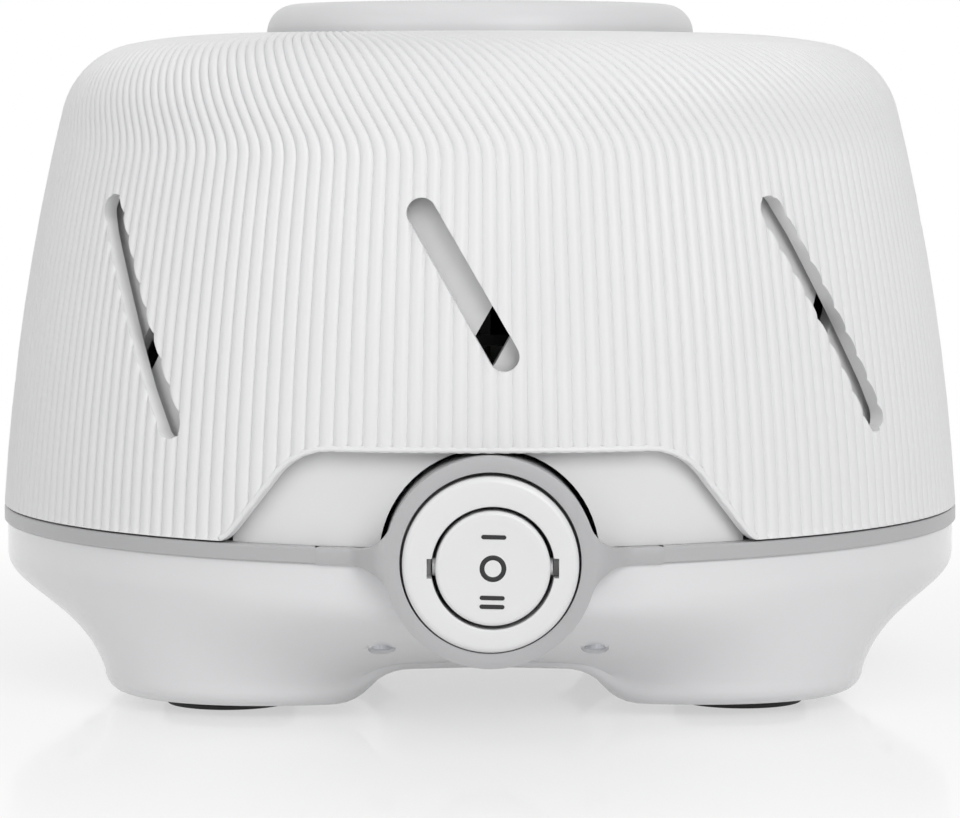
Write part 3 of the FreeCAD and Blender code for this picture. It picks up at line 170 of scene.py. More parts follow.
def add_box(size: Triple, place: Matrix) -> Piece:
    """Add a box with its sides along X, Y and Z, and then put it at a place.

    Args:
        size: its sides.
        place: where it goes, and how it is turned.

    Returns:
        The box.
    """
    deselect()
    bpy.ops.mesh.primitive_cube_add(size=1)
    piece = bpy.context.object
    piece.data.transform(place @ Matrix.Diagonal((*size, 1)))
    return piece


def add_cylinder(
    radius: float, depth: float, vertices: int, place: Matrix = Matrix.Identity(4),
) -> Piece:
    """Add a cylinder along Z, and then put it at a place.

    Args:
        radius: its radius.
        depth: its length.
        vertices: how many flats it has.
        place: where it goes, and how it is turned.

    Returns:
        The cylinder.
    """
    deselect()
    bpy.ops.mesh.primitive_cylinder_add(vertices=vertices, radius=radius, depth=depth)
    piece = bpy.context.object
    piece.data.transform(place)
    return piece


def draw_apart(piece: Piece, axis: int, run: float) -> None:
    """Draw a cylinder's two halves apart along an axis, which makes a bar with round ends."""
    for vertex in piece.data.vertices:
        vertex.co[axis] += run / 2 if vertex.co[axis] > GRID_MERGE else -run / 2


def on_circle(radius: float, azimuth: float, height: float) -> Vector:
    """Give the point at a radius, an azimuth from the front toward +X, and a height."""
    return Vector((radius * math.sin(azimuth), -radius * math.cos(azimuth), height))


def from_points(name: str, points: Sequence[Vector], edges: Sequence, faces: Sequence) -> Piece:
    """Make an object of a few points, edges and faces, as a start for the edit tools.

    Args:
        name: the object's name.
        points: its points.
        edges: pairs of point numbers.
        faces: rings of point numbers.

    Returns:
        The object.
    """
    mesh = bpy.data.meshes.new(name)
    mesh.from_pydata([tuple(point) for point in points], edges, faces)
    piece = bpy.data.objects.new(name, mesh)
    bpy.context.scene.collection.objects.link(piece)
    return piece


def lathe(name: str, outline: Sequence[Flat], steps: int = 96) -> Piece:
    """Spin a closed outline about Z.

    Args:
        name: the piece's name.
        outline: (radius, height) corners, in metres.
        steps: how many flats the full turn has.

    Returns:
        The turned piece, closed and with its faces outward.
    """
    points = [Vector((radius, 0, height)) for radius, height in outline]
    count = len(points)
    edges = [(index, (index + 1) % count) for index in range(count)]
    if outline[0][0] == 0 and outline[-1][0] == 0:
        edges.pop()
    piece = from_points(name, points, edges, [])
    activate(piece)
    bpy.ops.object.mode_set(mode="EDIT")
    bpy.ops.mesh.select_all(action="SELECT")
    bpy.ops.mesh.spin(steps=steps, angle=2 * math.pi, center=(0, 0, 0), axis=(0, 0, 1))
    bpy.ops.object.mode_set(mode="OBJECT")
    merge(piece, LATHE_MERGE)
    return piece


def wrap_grid(
    name: str, columns: int, rows: int, place: Callable[[int, int], Vector],
    near: float = GRID_MERGE,
) -> Piece:
    """Add a grid and put each of its crossings on a surface.

    Args:
        name: the piece's name.
        columns: spaces along the first direction.
        rows: spaces along the second direction.
        place: gives the point for a (column, row) crossing.
        near: how near two points are that become one.

    Returns:
        The grid on its surface, closed where its edges meet.
    """
    deselect()
    bpy.ops.mesh.primitive_grid_add(x_subdivisions=columns, y_subdivisions=rows, size=2)
    piece = bpy.context.object
    piece.name = name
    piece.data.name = name
    for vertex in piece.data.vertices:
        column = round((vertex.co.x + 1) / 2 * columns)
        row = round((vertex.co.y + 1) / 2 * rows)
        vertex.co = place(column, row)
    merge(piece, near)
    return piece


def round_corner(centre: Flat, radius: float, start: float, end: float, steps: int) -> list[Flat]:
    """Give points on an arc, its ends among them, with its angles in degrees.

    Args:
        centre: the arc's centre.
        radius: its radius.
        start: its first angle.
        end: its last angle.
        steps: how many parts it has.

    Returns:
        The points.
    """
    points = []
    for step in range(steps + 1):
        turn = math.radians(start + (end - start) * step / steps)
        points.append((centre[0] + radius * math.cos(turn), centre[1] + radius * math.sin(turn)))
    return points


def ease(share: float) -> float:
    """Give a smooth step from 0 to 1."""
    share = min(1.0, max(0.0, share))
    return share * share * (3 - 2 * share)


def set_on_line(piece: Piece, height: float) -> None:
    """Turn a piece made along Z to face the front, on the switch's line at a height."""
    piece.data.transform(Matrix.Translation((0, 0, height)) @ FACING_FRONT)
    piece.data.update()


# Finishes

def linear(hex_colour: str) -> tuple[float, float, float, float]:
    """Turn an sRGB hex colour to linear light.

    Args:
        hex_colour: the colour, such as #EDEDED.

    Returns:
        Its linear red, green and blue, and 1.
    """
    values = []
    for start in (1, 3, 5):
        value = int(hex_colour[start:start + 2], 16) / 255
        values.append(value / 12.92 if value <= 0.04045 else ((value + 0.055) / 1.055) ** 2.4)
    return (values[0], values[1], values[2], 1.0)


def add_node(
    tree: bpy.types.NodeTree, kind: str, links: dict | None = None, inputs: dict | None = None,
    **settings: object,
) -> bpy.types.Node:
    """Add a shader node.

    Args:
        tree: the material's node tree.
        kind: the node's type name.
        links: output sockets by the name or index of the input that each feeds.
        inputs: plain values by input name or index.
        **settings: the node's own properties.

    Returns:
        The node.
    """
    node = tree.nodes.new(kind)
    for name, value in settings.items():
        setattr(node, name, value)
    for name, value in (inputs or {}).items():
        node.inputs[name].default_value = value
    for name, socket in (links or {}).items():
        tree.links.new(socket, node.inputs[name])
    return node


def new_material(
    name: str,
) -> tuple[bpy.types.Material, bpy.types.NodeTree, bpy.types.Node, bpy.types.Node]:
    """Make a material and give it, its tree, its shader and its object coordinates.

    Args:
        name: the material's name.

    Returns:
        The material, its node tree, its shader and its coordinates node.
    """
    material = bpy.data.materials.new(name)
    material.use_nodes = True
    tree = material.node_tree
    shader = next(node for node in tree.nodes if node.type == "BSDF_PRINCIPLED")
    coordinates = add_node(tree, "ShaderNodeTexCoord")
    return material, tree, shader, coordinates


@dataclass(frozen=True)
class MouldedPlastic:
    """A moulded plastic: its colour drifts a little, and its skin has a fine grain and a slow wave."""

    name: str
    light: str
    dark: str
    roughness: float
    roughness_drift: float = 0.05
    drift: float = 22 * MM
    ior: float = 1.5
    grain: float = 0.35 * MM
    grain_depth: float = 0.006 * MM
    wave: float = 14 * MM
    wave_depth: float = 0.0
    coat: float = 0.0
    coat_roughness: float = 0.05

    def build(self) -> bpy.types.Material:
        """Make the material.

        Returns:
            The finished material.
        """
        material, tree, shader, coordinates = new_material(self.name)
        spot = coordinates.outputs["Object"]
        drift = add_node(
            tree, "ShaderNodeTexNoise", {"Vector": spot}, {"Scale": 1 / self.drift, "Detail": 3.0},
        )
        tint = add_node(
            tree, "ShaderNodeMix", {0: drift.outputs["Fac"]},
            {6: linear(self.light), 7: linear(self.dark)}, data_type="RGBA",
        )
        tree.links.new(tint.outputs[2], shader.inputs["Base Color"])
        rough = add_node(
            tree, "ShaderNodeMapRange", {"Value": drift.outputs["Fac"]},
            {"From Min": 0.3, "From Max": 0.7, "To Min": self.roughness - self.roughness_drift,
             "To Max": self.roughness + self.roughness_drift},
        )
        tree.links.new(rough.outputs["Result"], shader.inputs["Roughness"])
        shader.inputs["IOR"].default_value = self.ior
        shader.inputs["Coat Weight"].default_value = self.coat
        shader.inputs["Coat Roughness"].default_value = self.coat_roughness
        grain = add_node(
            tree, "ShaderNodeTexNoise", {"Vector": spot}, {"Scale": 1 / self.grain, "Detail": 2.0},
        )
        bump = add_node(
            tree, "ShaderNodeBump", {"Height": grain.outputs["Fac"]},
            {"Strength": 1.0, "Distance": self.grain_depth},
        )
        if self.wave_depth > 0:
            slow = add_node(
                tree, "ShaderNodeTexNoise", {"Vector": spot}, {"Scale": 1 / self.wave, "Detail": 0.0},
            )
            bump = add_node(
                tree, "ShaderNodeBump",
                {"Height": slow.outputs["Fac"], "Normal": bump.outputs["Normal"]},
                {"Strength": 1.0, "Distance": self.wave_depth},
            )
        tree.links.new(bump.outputs["Normal"], shader.inputs["Normal"])
        return material


@dataclass(frozen=True)
class Metal:
    """A bare metal with fine tool or roll marks along one direction."""

    name: str
    light: str
    dark: str
    roughness: float
    mark: float = 0.25 * MM
    stretch: Triple = (1.0, 1.0, 12.0)
    mark_depth: float = 0.01 * MM

    def build(self) -> bpy.types.Material:
        """Make the material.

        Returns:
            The finished material.
        """
        material, tree, shader, coordinates = new_material(self.name)
        squeeze = add_node(
            tree, "ShaderNodeMapping", {"Vector": coordinates.outputs["Object"]},
            {"Scale": tuple(1 / (self.mark * factor) for factor in self.stretch)},
        )
        marks = add_node(
            tree, "ShaderNodeTexNoise", {"Vector": squeeze.outputs["Vector"]},
            {"Scale": 1.0, "Detail": 4.0},
        )
        tint = add_node(
            tree, "ShaderNodeMix", {0: marks.outputs["Fac"]},
            {6: linear(self.dark), 7: linear(self.light)}, data_type="RGBA",
        )
        tree.links.new(tint.outputs[2], shader.inputs["Base Color"])
        shader.inputs["Metallic"].default_value = 1.0
        rough = add_node(
            tree, "ShaderNodeMapRange", {"Value": marks.outputs["Fac"]},
            {"To Min": self.roughness - 0.08, "To Max": self.roughness + 0.1},
        )
        tree.links.new(rough.outputs["Result"], shader.inputs["Roughness"])
        bump = add_node(
            tree, "ShaderNodeBump", {"Height": marks.outputs["Fac"]},
            {"Strength": 1.0, "Distance": self.mark_depth},
        )
        tree.links.new(bump.outputs["Normal"], shader.inputs["Normal"])
        return material


@dataclass(frozen=True)
class Layered:
    """Something stacked or wound, seen as fine lines: laminations, or turns of wire."""

    name: str
    light: str
    dark: str
    pitch: float
    direction: str
    roughness: float
    metallic: float
    depth: float

    def build(self) -> bpy.types.Material:
        """Make the material.

        Returns:
            The finished material.
        """
        material, tree, shader, coordinates = new_material(self.name)
        # A Wave texture's band repeats once per 2 pi / 20 of its scaled coordinate
        scale = (2 * math.pi / 20) / self.pitch
        lines = add_node(
            tree, "ShaderNodeTexWave", {"Vector": coordinates.outputs["Object"]}, {"Scale": scale},
            wave_type="BANDS", bands_direction=self.direction, wave_profile="SIN",
        )
        drift = add_node(
            tree, "ShaderNodeTexNoise", {"Vector": coordinates.outputs["Object"]},
            {"Scale": 1 / (4 * MM), "Detail": 3.0},
        )
        shade = add_node(
            tree, "ShaderNodeMath", {0: lines.outputs["Fac"], 1: drift.outputs["Fac"]},
            operation="MULTIPLY",
        )
        tint = add_node(
            tree, "ShaderNodeMix", {0: shade.outputs[0]},
            {6: linear(self.dark), 7: linear(self.light)}, data_type="RGBA",
        )
        tree.links.new(tint.outputs[2], shader.inputs["Base Color"])
        shader.inputs["Metallic"].default_value = self.metallic
        shader.inputs["Roughness"].default_value = self.roughness
        bump = add_node(
            tree, "ShaderNodeBump", {"Height": lines.outputs["Fac"]},
            {"Strength": 1.0, "Distance": self.depth},
        )
        tree.links.new(bump.outputs["Normal"], shader.inputs["Normal"])
        return material


# Satin ABS of the shell: pale and even, with soft broad highlights along every rib
SATIN_SHELL = MouldedPlastic("satin_moulded_abs_shell", "#EDEDED", "#E9E9EA", 0.42)
# Gloss ABS of the base: mirrors the lights softly, with the slow wave of a thick moulding
GLOSS_BASE = MouldedPlastic(
    "gloss_moulded_abs_base", "#E8E8E9", "#E4E4E6", 0.2, 0.03, grain=0.6 * MM, grain_depth=0.002 * MM,
    wave_depth=0.01 * MM, coat=0.25,
)
# Satin grey of the trim: a paint-like skin, darker than its neighbours and hardly glossy
SATIN_TRIM = MouldedPlastic("satin_grey_moulded_trim", "#BBBBBC", "#B6B6B8", 0.38, 0.04)
# Satin ABS of the drum: the shell's plastic with a slightly tighter gloss
SATIN_DRUM = MouldedPlastic("satin_moulded_abs_drum", "#E8E8E8", "#E4E4E5", 0.36)
# Satin ABS of the cap: the shell's white plastic, its colour greyed below the shell's as painted shade
# for the dimmer light that falls on the cap
CAP_WITH_PAINTED_SHADE = MouldedPlastic("satin_moulded_abs_cap_painted_shade", "#DFDFE0", "#DADADC", 0.4)
# Polished nylon of the switch: clean white with a tight gloss
SWITCH_NYLON = MouldedPlastic(
    "polished_moulded_nylon_switch", "#ECECEC", "#E8E8E9", 0.24, 0.03,
    grain=0.5 * MM, grain_depth=0.003 * MM,
)
# Ink in the switch's marks: near black and dull
MARK_INK = MouldedPlastic("printed_mark_ink", "#202022", "#161618", 0.5, grain=0.2 * MM)
# Rubber of the feet: deep grey with a powdery bloom
FOOT_RUBBER = MouldedPlastic(
    "moulded_rubber_foot", "#1E1E1F", "#121213", 0.72, grain=0.25 * MM, grain_depth=0.02 * MM,
)
# Nylon of the gland: black, semi-matt
GLAND_NYLON = MouldedPlastic("moulded_nylon_gland", "#1B1B1C", "#131314", 0.45)
# Polypropylene of the fan: dark grey, waxy
FAN_PLASTIC = MouldedPlastic("moulded_polypropylene_fan", "#2B2B2D", "#222224", 0.42)
# Nylon of the bobbin: unfilled and yellowish
BOBBIN_NYLON = MouldedPlastic("moulded_nylon_bobbin", "#D8D2BE", "#CFC8B0", 0.45)
# Sleeve of the leads: extruded and glossy
LEAD_SLEEVE = MouldedPlastic("extruded_lead_sleeve", "#262628", "#1A1A1C", 0.32)
# Zinc plate: bluish grey with faint press marks
ZINC_STEEL = Metal("zinc_plated_pressed_steel", "#C6C8CC", "#9B9DA3", 0.36)
# Ground steel: bright, with fine rings round the shaft
GROUND_STEEL = Metal("ground_steel_shaft", "#D2D2D4", "#A6A6A9", 0.22, stretch=(12.0, 12.0, 1.0))
# Rolled aluminium: soft grey, with roll lines
SHEET_ALUMINIUM = Metal(
    "rolled_aluminium_bracket", "#D6D7D9", "#B2B3B6", 0.34, stretch=(12.0, 1.0, 1.0),
)
# Sintered bronze: warm brown and pitted with pores
SINTERED_BRONZE = Metal(
    "sintered_bronze_bearing", "#B58A4E", "#7F5D30", 0.46,
    mark=0.4 * MM, stretch=(1.0, 1.0, 1.0), mark_depth=0.03 * MM,
)
# Stamped brass: pale yellow, with die lines
STAMPED_BRASS = Metal("stamped_brass_terminal", "#CDB06A", "#A0843F", 0.3, stretch=(1.0, 12.0, 1.0))
# Sheets of 0.5 mm electrical steel, drawn at 1 mm so that they show
LAMINATED_STEEL = Layered(
    "stacked_lamination_steel", "#8A8C92", "#4B4D52", 1.0 * MM, "Z", 0.42, 0.9, 0.05 * MM,
)
# Turns of 0.3 mm enamelled wire, drawn at 0.6 mm so that they show
ENAMELLED_WIRE = Layered(
    "wound_enamelled_wire", "#B0682C", "#5A2C0E", 0.6 * MM, "X", 0.28, 0.35, 0.1 * MM,
)

FINISHES = {
    "base_white": GLOSS_BASE, "trim_grey": SATIN_TRIM, "shell_white": SATIN_SHELL,
    "drum_white": SATIN_DRUM, "cap_white": CAP_WITH_PAINTED_SHADE, "switch_white": SWITCH_NYLON,
    "foot_rubber": FOOT_RUBBER, "screw_steel": ZINC_STEEL, "plate_steel": ZINC_STEEL,
    "shaft_steel": GROUND_STEEL, "lamination_steel": LAMINATED_STEEL,
    "bobbin_plastic": BOBBIN_NYLON, "coil_copper": ENAMELLED_WIRE,
    "bracket_aluminium": SHEET_ALUMINIUM, "bearing_bronze": SINTERED_BRONZE,
    "terminal_brass": STAMPED_BRASS, "gland_black": GLAND_NYLON,
    "lead_insulation": LEAD_SLEEVE, "fan_plastic": FAN_PLASTIC,
}


Finish = MouldedPlastic | Metal | Layered


@cache
def material_of(finish: Finish) -> bpy.types.Material:
    """Give a finish's material, built on first use."""
    return finish.build()


def dress_frame() -> None:
    """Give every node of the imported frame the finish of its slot."""
    for entry in frame["record"]["subparts"]:
        node = frame["nodes"][entry["node"]]
        material = material_of(FINISHES[entry["material_slot"]])
        if not node.material_slots:
            node.data.materials.append(material)
        for slot in node.material_slots:
            slot.material = material


def hand_over(
    piece: Piece, finish: Finish, body: Body, slot: str, *nodes: str, sharp: float = 40.0,
) -> None:
    """Shade and dress a finished piece, and let it ride on its body and stand for its nodes.

    Args:
        piece: the finished piece.
        finish: what it is made of.
        body: what it moves with.
        slot: the record's material slot that it would take its finish from; not used.
        *nodes: the frame's nodes that it stands for.
        sharp: the angle past which an edge stays sharp, in degrees.
    """
    activate(piece)
    bpy.ops.object.shade_smooth_by_angle(angle=math.radians(sharp))
    piece.data.materials.clear()
    piece.data.materials.append(material_of(finish))
    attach(piece, body.value)
    if nodes:
        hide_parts(*nodes)
    LOG.info("%s: %d faces", piece.name, len(piece.data.polygons))


# Sub-assemblies

@dataclass
class DomeProfile:
    """The shell's outer profile: one long wall arc, a tight shoulder and a flat crest."""

    foot: float = 26.2 * MM
    wall_curve: float = 337 * MM
    shoulder_radius: float = 13.3 * MM
    shoulder_centre: float = 50.77 * MM
    shoulder_height: float = 82.73 * MM
    shoulder_start: float = 14.0
    shoulder_end: float = 79.0
    crest_curve: float = 75 * MM
    hole: float = 33.9 * MM

    def arcs(self) -> list[tuple[float, float, float, float, float]]:
        """Give each arc as centre radius, centre height, radius, first and last angle.

        Returns:
            The wall's, the shoulder's and the crest's arc.
        """
        wall = self.wall_curve - self.shoulder_radius
        crest = self.crest_curve - self.shoulder_radius
        start = math.radians(self.shoulder_start)
        end = math.radians(self.shoulder_end)
        wall_x = self.shoulder_centre - wall * math.cos(start)
        wall_z = self.shoulder_height - wall * math.sin(start)
        crest_x = self.shoulder_centre - crest * math.cos(end)
        crest_z = self.shoulder_height - crest * math.sin(end)
        foot = math.asin((self.foot - wall_z) / self.wall_curve)
        return [
            (wall_x, wall_z, self.wall_curve, foot, start),
            (self.shoulder_centre, self.shoulder_height, self.shoulder_radius, start, end),
            (crest_x, crest_z, self.crest_curve, end, math.pi / 2),
        ]

    def length(self) -> float:
        """Give the whole outline's length, from the foot to the hole."""
        arcs = sum(radius * (last - first) for _, _, radius, first, last in self.arcs())
        return arcs + self.arcs()[2][0] - self.hole

    def at(self, along: float, inset: float = 0.0) -> Flat:
        """Give the profile's point at a length from the foot, at a depth below the outer face.

        Args:
            along: length along the outer face from the foot.
            inset: depth below the outer face.

        Returns:
            The point's radius and height.
        """
        for centre_x, centre_z, radius, first, last in self.arcs():
            span = radius * (last - first)
            if along <= span:
                turn = first + along / radius
                reach = radius - inset
                return (centre_x + reach * math.cos(turn), centre_z + reach * math.sin(turn))
            along -= span
        centre_x, centre_z, radius, _, _ = self.arcs()[2]
        return (centre_x - along, centre_z + radius - inset)

    def radius_at(self, height: float, inset: float = 0.0) -> float:
        """Give the wall's radius at a height below the shoulder."""
        centre_x, centre_z, radius, _, _ = self.arcs()[0]
        return centre_x + math.sqrt((radius - inset) ** 2 - (height - centre_z) ** 2)

    def length_at(self, height: float) -> float:
        """Give the length from the foot at a height on the wall."""
        _, centre_z, radius, first, _ = self.arcs()[0]
        return radius * (math.asin((height - centre_z) / radius) - first)


@dataclass
class SlotRing:
    """The shell's ring of leaning slots."""

    side: int = -1
    count: int = 8
    width: float = 4.2 * MM
    top: float = 71.7 * MM
    bottom: float = 41.9 * MM
    front_bottom: float = 52.2 * MM
    cross: float = 54.2 * MM
    lean: float = 30.4
    azimuth: float = 0.5
    radius: float = 72.7 * MM
    cutter_depth: float = 26 * MM
    cutter_middle: float = 64 * MM

    def cutters(self, name: str) -> Piece:
        """Make one cutter for the whole ring, whose front slot is shorter.

        Args:
            name: the cutter's name.

        Returns:
            The joined cutters.
        """
        cutters = []
        for index in range(self.count):
            bottom = self.front_bottom if index == 0 else self.bottom
            cutters.append(self.cutter(bottom, index * 360 / self.count))
        return join(cutters, name)

    def cutter(self, bottom: float, turn: float) -> Piece:
        """Make one round-ended cutter: a cylinder drawn apart along its lean.

        Args:
            bottom: height of the lower end's centre.
            turn: the slot's place round the ring, in degrees.

        Returns:
            The cutter.
        """
        lean = math.radians(self.lean)
        middle = (self.top + bottom) / 2
        offset = math.degrees((middle - self.cross) * math.tan(lean) / self.radius)
        azimuth = math.radians(self.azimuth + offset * self.side + turn)
        piece = add_cylinder(self.width / 2, self.cutter_depth, 48)
        draw_apart(piece, 1, (self.top - bottom) / math.cos(lean))
        out = Matrix.Translation((0, 0, self.cutter_middle))
        out = out @ Matrix.Rotation(-lean * self.side, 4, "Z")
        stand = Matrix.Rotation(azimuth, 4, "Z") @ FACING_FRONT
        piece.data.transform(Matrix.Translation((0, 0, middle)) @ stand @ out)
        return piece


@dataclass
class NotchOutline:
    """The notch over the switch, in the front view."""

    top: float = 39.1 * MM
    flat: float = 21.9 * MM
    shoulder: float = 9.6 * MM
    slope: float = 52.0
    flare: float = 6.0 * MM
    flare_end: float = 15.0
    below: float = 25.6 * MM
    arc_steps: int = 12

    def right_side(self) -> list[Flat]:
        """Give the right side's points, from the top's middle down to the foot.

        Returns:
            The points in the front view.
        """
        slope = math.radians(self.slope)
        steps = self.arc_steps
        shoulder = (self.flat, self.top - self.shoulder)
        points = [(0.0, self.top)]
        points += round_corner(shoulder, self.shoulder, 90, 90 - self.slope, steps)
        flare_z = self.below + self.flare * math.cos(math.radians(self.flare_end))
        foot_z = flare_z - self.flare * math.cos(slope)
        foot_x = points[-1][0] + (points[-1][1] - foot_z) / math.tan(slope)
        centre = (foot_x + self.flare * math.sin(slope), flare_z)
        points += round_corner(centre, self.flare, 270 - self.slope, 270 - self.flare_end, steps)
        return points

    def full(self) -> list[Flat]:
        """Give the whole outline, from the left foot over the top to the right foot."""
        right = self.right_side()
        return [(-x, z) for x, z in reversed(right[1:])] + right[1:]


@dataclass
class RibbedShell:
    """The turning shell: 216 reeds that run up the wall and swirl over the shoulder."""

    dome: DomeProfile
    ribs: int = 216
    rib_depth: float = 0.5 * MM
    rib_places: tuple[float, ...] = (0.0, 0.09, 0.26, 0.5, 0.74, 0.91, 1.0)
    rib_sharpness: float = 3.0
    wall: float = 2.2 * MM
    swirl_height: float = 78.0 * MM
    swirl_ramp: float = 6.0 * MM
    swirl_lean: float = 32.0
    swirl_steps: int = 60
    foot_rows: tuple[float, ...] = (0.0, 0.3 * MM, 0.9 * MM)
    straight_rows: int = 7
    shoulder_rows: int = 38
    inner_shares: tuple[float, ...] = (1.0, 0.86, 0.78, 0.72, 0.66, 0.45, 0.22, 0.0)
    foot_fade: float = 0.7 * MM
    foot_depth: float = 0.2 * MM
    hole_fade: float = 2.5 * MM
    seam_merge: float = 0.02 * MM
    notch_inside: float = 50 * MM
    notch_depth: float = 35 * MM
    rim_step: float = 0.8 * MM
    rim_width: float = 0.8 * MM
    # Across the rim: (share of its width from the notch's edge, height over the reeds' crowns)
    rim_section: tuple[Flat, ...] = (
        (0.0, -1.6 * MM), (0.0, -0.25 * MM), (0.12, -0.02 * MM),
        (0.4, 0.03 * MM), (0.8, -0.02 * MM), (1.0, -0.3 * MM),
    )

    def rows(self) -> list[float]:
        """Give the lengths from the foot at which the outer face has a row of points.

        Returns:
            The lengths, from the foot to the hole.
        """
        swirl = self.dome.length_at(self.swirl_height)
        rows = list(self.foot_rows)
        for end, count in ((swirl, self.straight_rows), (self.dome.length(), self.shoulder_rows)):
            start = rows[-1]
            rows += [start + (end - start) * step / count for step in range(1, count + 1)]
        return rows

    def swirl(self, along: float) -> float:
        """Give the ribs' turn at a length from the foot, in radians.

        Args:
            along: the length from the foot.

        Returns:
            The turn since the foot, toward -X at the front.
        """
        start = self.dome.length_at(self.swirl_height)
        span = max(0.0, along - start)
        turn = 0.0
        for step in range(self.swirl_steps):
            middle = span * (step + 0.5) / self.swirl_steps
            lean = math.radians(self.swirl_lean) * ease(middle / self.swirl_ramp)
            radius, _ = self.dome.at(start + middle)
            turn -= math.tan(lean) / radius * span / self.swirl_steps
        return turn

    def fade(self, along: float) -> float:
        """Give the share of the rib depth at a length: the reeds die out at the foot and the hole."""
        foot = ease((along + self.foot_depth) / self.foot_fade)
        return foot * ease((self.dome.length() - along) / self.hole_fade)

    def ring(self) -> list[tuple[Flat, Flat, float]]:
        """Give the section's rows round the wall: crown, groove and turn, outside and then inside.

        Returns:
            The rows, from the foot up the outside and down the inside.
        """
        rows = self.rows()
        ring = []
        for along in rows:
            groove = self.dome.at(along, self.rib_depth * self.fade(along))
            ring.append((self.dome.at(along), groove, self.swirl(along)))
        last_turn = ring[-1][2]
        last = len(self.inner_shares) - 1
        for index, share in enumerate(self.inner_shares):
            point = self.dome.at(rows[-1] * share, self.wall)
            ring.append((point, point, last_turn * (1 - index / last)))
        return ring

    def build(self) -> None:
        """Make the shell: one reed, repeated, with the slots and the notch cut."""
        ring = self.ring()
        pitch = 2 * math.pi / self.ribs

        def place(column: int, row: int) -> Vector:
            """Give a crossing's place on one reed."""
            crown, groove, turn = ring[row % len(ring)]
            share = self.rib_places[column]
            low = abs(2 * share - 1) ** self.rib_sharpness
            radius = crown[0] + (groove[0] - crown[0]) * low
            height = crown[1] + (groove[1] - crown[1]) * low
            return on_circle(radius, (share - 0.5) * pitch + turn, height)

        piece = wrap_grid("ribbed_shell", len(self.rib_places) - 1, len(ring), place)
        step = bpy.data.objects.new("rib_step", None)
        bpy.context.scene.collection.objects.link(step)
        step.rotation_euler.z = pitch
        bpy.context.view_layer.update()
        use_modifier(
            piece, "ARRAY", fit_type="FIXED_COUNT", count=self.ribs, use_relative_offset=False,
            use_constant_offset=False, use_object_offset=True, offset_object=step,
            use_merge_vertices=True, use_merge_vertices_cap=True, merge_threshold=self.seam_merge,
        )
        bpy.data.objects.remove(step)
        merge(piece)
        subtract(piece, SlotRing().cutters("shell_slot_cutters"))
        subtract(piece, self.notch_cutter())
        hand_over(piece, SATIN_SHELL, Body.SHELL, "shell_white", "outer_shell", sharp=50)
        self.build_rim()

    def notch_cutter(self) -> Piece:
        """Make the notch's cutter: its outline drawn out along Y.

        Returns:
            The cutter.
        """
        points = [Vector((x, -self.notch_inside, z)) for x, z in NotchOutline().full()]
        piece = from_points("notch_cutter", points, [], [list(range(len(points)))])
        activate(piece)
        bpy.ops.object.mode_set(mode="EDIT")
        bpy.ops.mesh.select_all(action="SELECT")
        bpy.ops.mesh.extrude_region_move(TRANSFORM_OT_translate={"value": (0, -self.notch_depth, 0)})
        bpy.ops.object.mode_set(mode="OBJECT")
        merge(piece)
        return piece

    def build_rim(self) -> None:
        """Make the plain rounded rim that frames the notch, where the reeds stop."""
        outline = [point for point in NotchOutline().full() if point[1] > self.dome.foot - 0.1 * MM]
        fine = []
        for start, end in zip(outline, outline[1:]):
            steps = max(1, round(math.dist(start, end) / self.rim_step))
            for step in range(steps):
                fine.append(tuple(a + (b - a) * step / steps for a, b in zip(start, end)))
        fine.append(outline[-1])

        def place(column: int, row: int) -> Vector:
            """Give a crossing's place on the rim."""
            x, z = fine[column]
            before = fine[max(0, column - 1)]
            after = fine[min(len(fine) - 1, column + 1)]
            run = Vector((after[0] - before[0], after[1] - before[1])).normalized()
            share, rise = self.rim_section[row]
            x -= run.y * share * self.rim_width
            z = max(z + run.x * share * self.rim_width, self.dome.foot)
            azimuth = math.asin(x / self.dome.radius_at(z))
            return on_circle(self.dome.radius_at(z, -rise), azimuth, z)

        piece = wrap_grid("notch_rim", len(fine) - 1, len(self.rim_section) - 1, place)
        hand_over(piece, SATIN_SHELL, Body.SHELL, "shell_white", sharp=60)


@dataclass
class HousingScrew:
    """One pan-head screw with a cross recess, point up, its head's rim at a well's roof."""

    head: float = 1.6 * MM
    head_height: float = 1.1 * MM
    crown: float = 0.25 * MM
    crown_flat: float = 1.2 * MM
    shank: float = 0.9 * MM
    shank_end: float = 6.5 * MM
    point: float = 7.4 * MM
    recess: Triple = (1.7 * MM, 0.42 * MM, 1.0 * MM)

    def build(self, roof: float) -> Piece:
        """Make the screw on the Z axis.

        Args:
            roof: the height that the head seats at.

        Returns:
            The screw.
        """
        screw = lathe("housing_screw", [
            (0.0, roof - self.crown), (self.crown_flat, roof - self.crown), (self.head, roof),
            (self.head, roof + self.head_height), (self.shank, roof + self.head_height),
            (self.shank, roof + self.shank_end), (0.0, roof + self.point),
        ], 24)
        for turn in (0, 90):
            spot = Matrix.Translation((0, 0, roof)) @ Matrix.Rotation(math.radians(turn), 4, "Z")
            subtract(screw, add_box(self.recess, spot), "EXACT")
        return screw


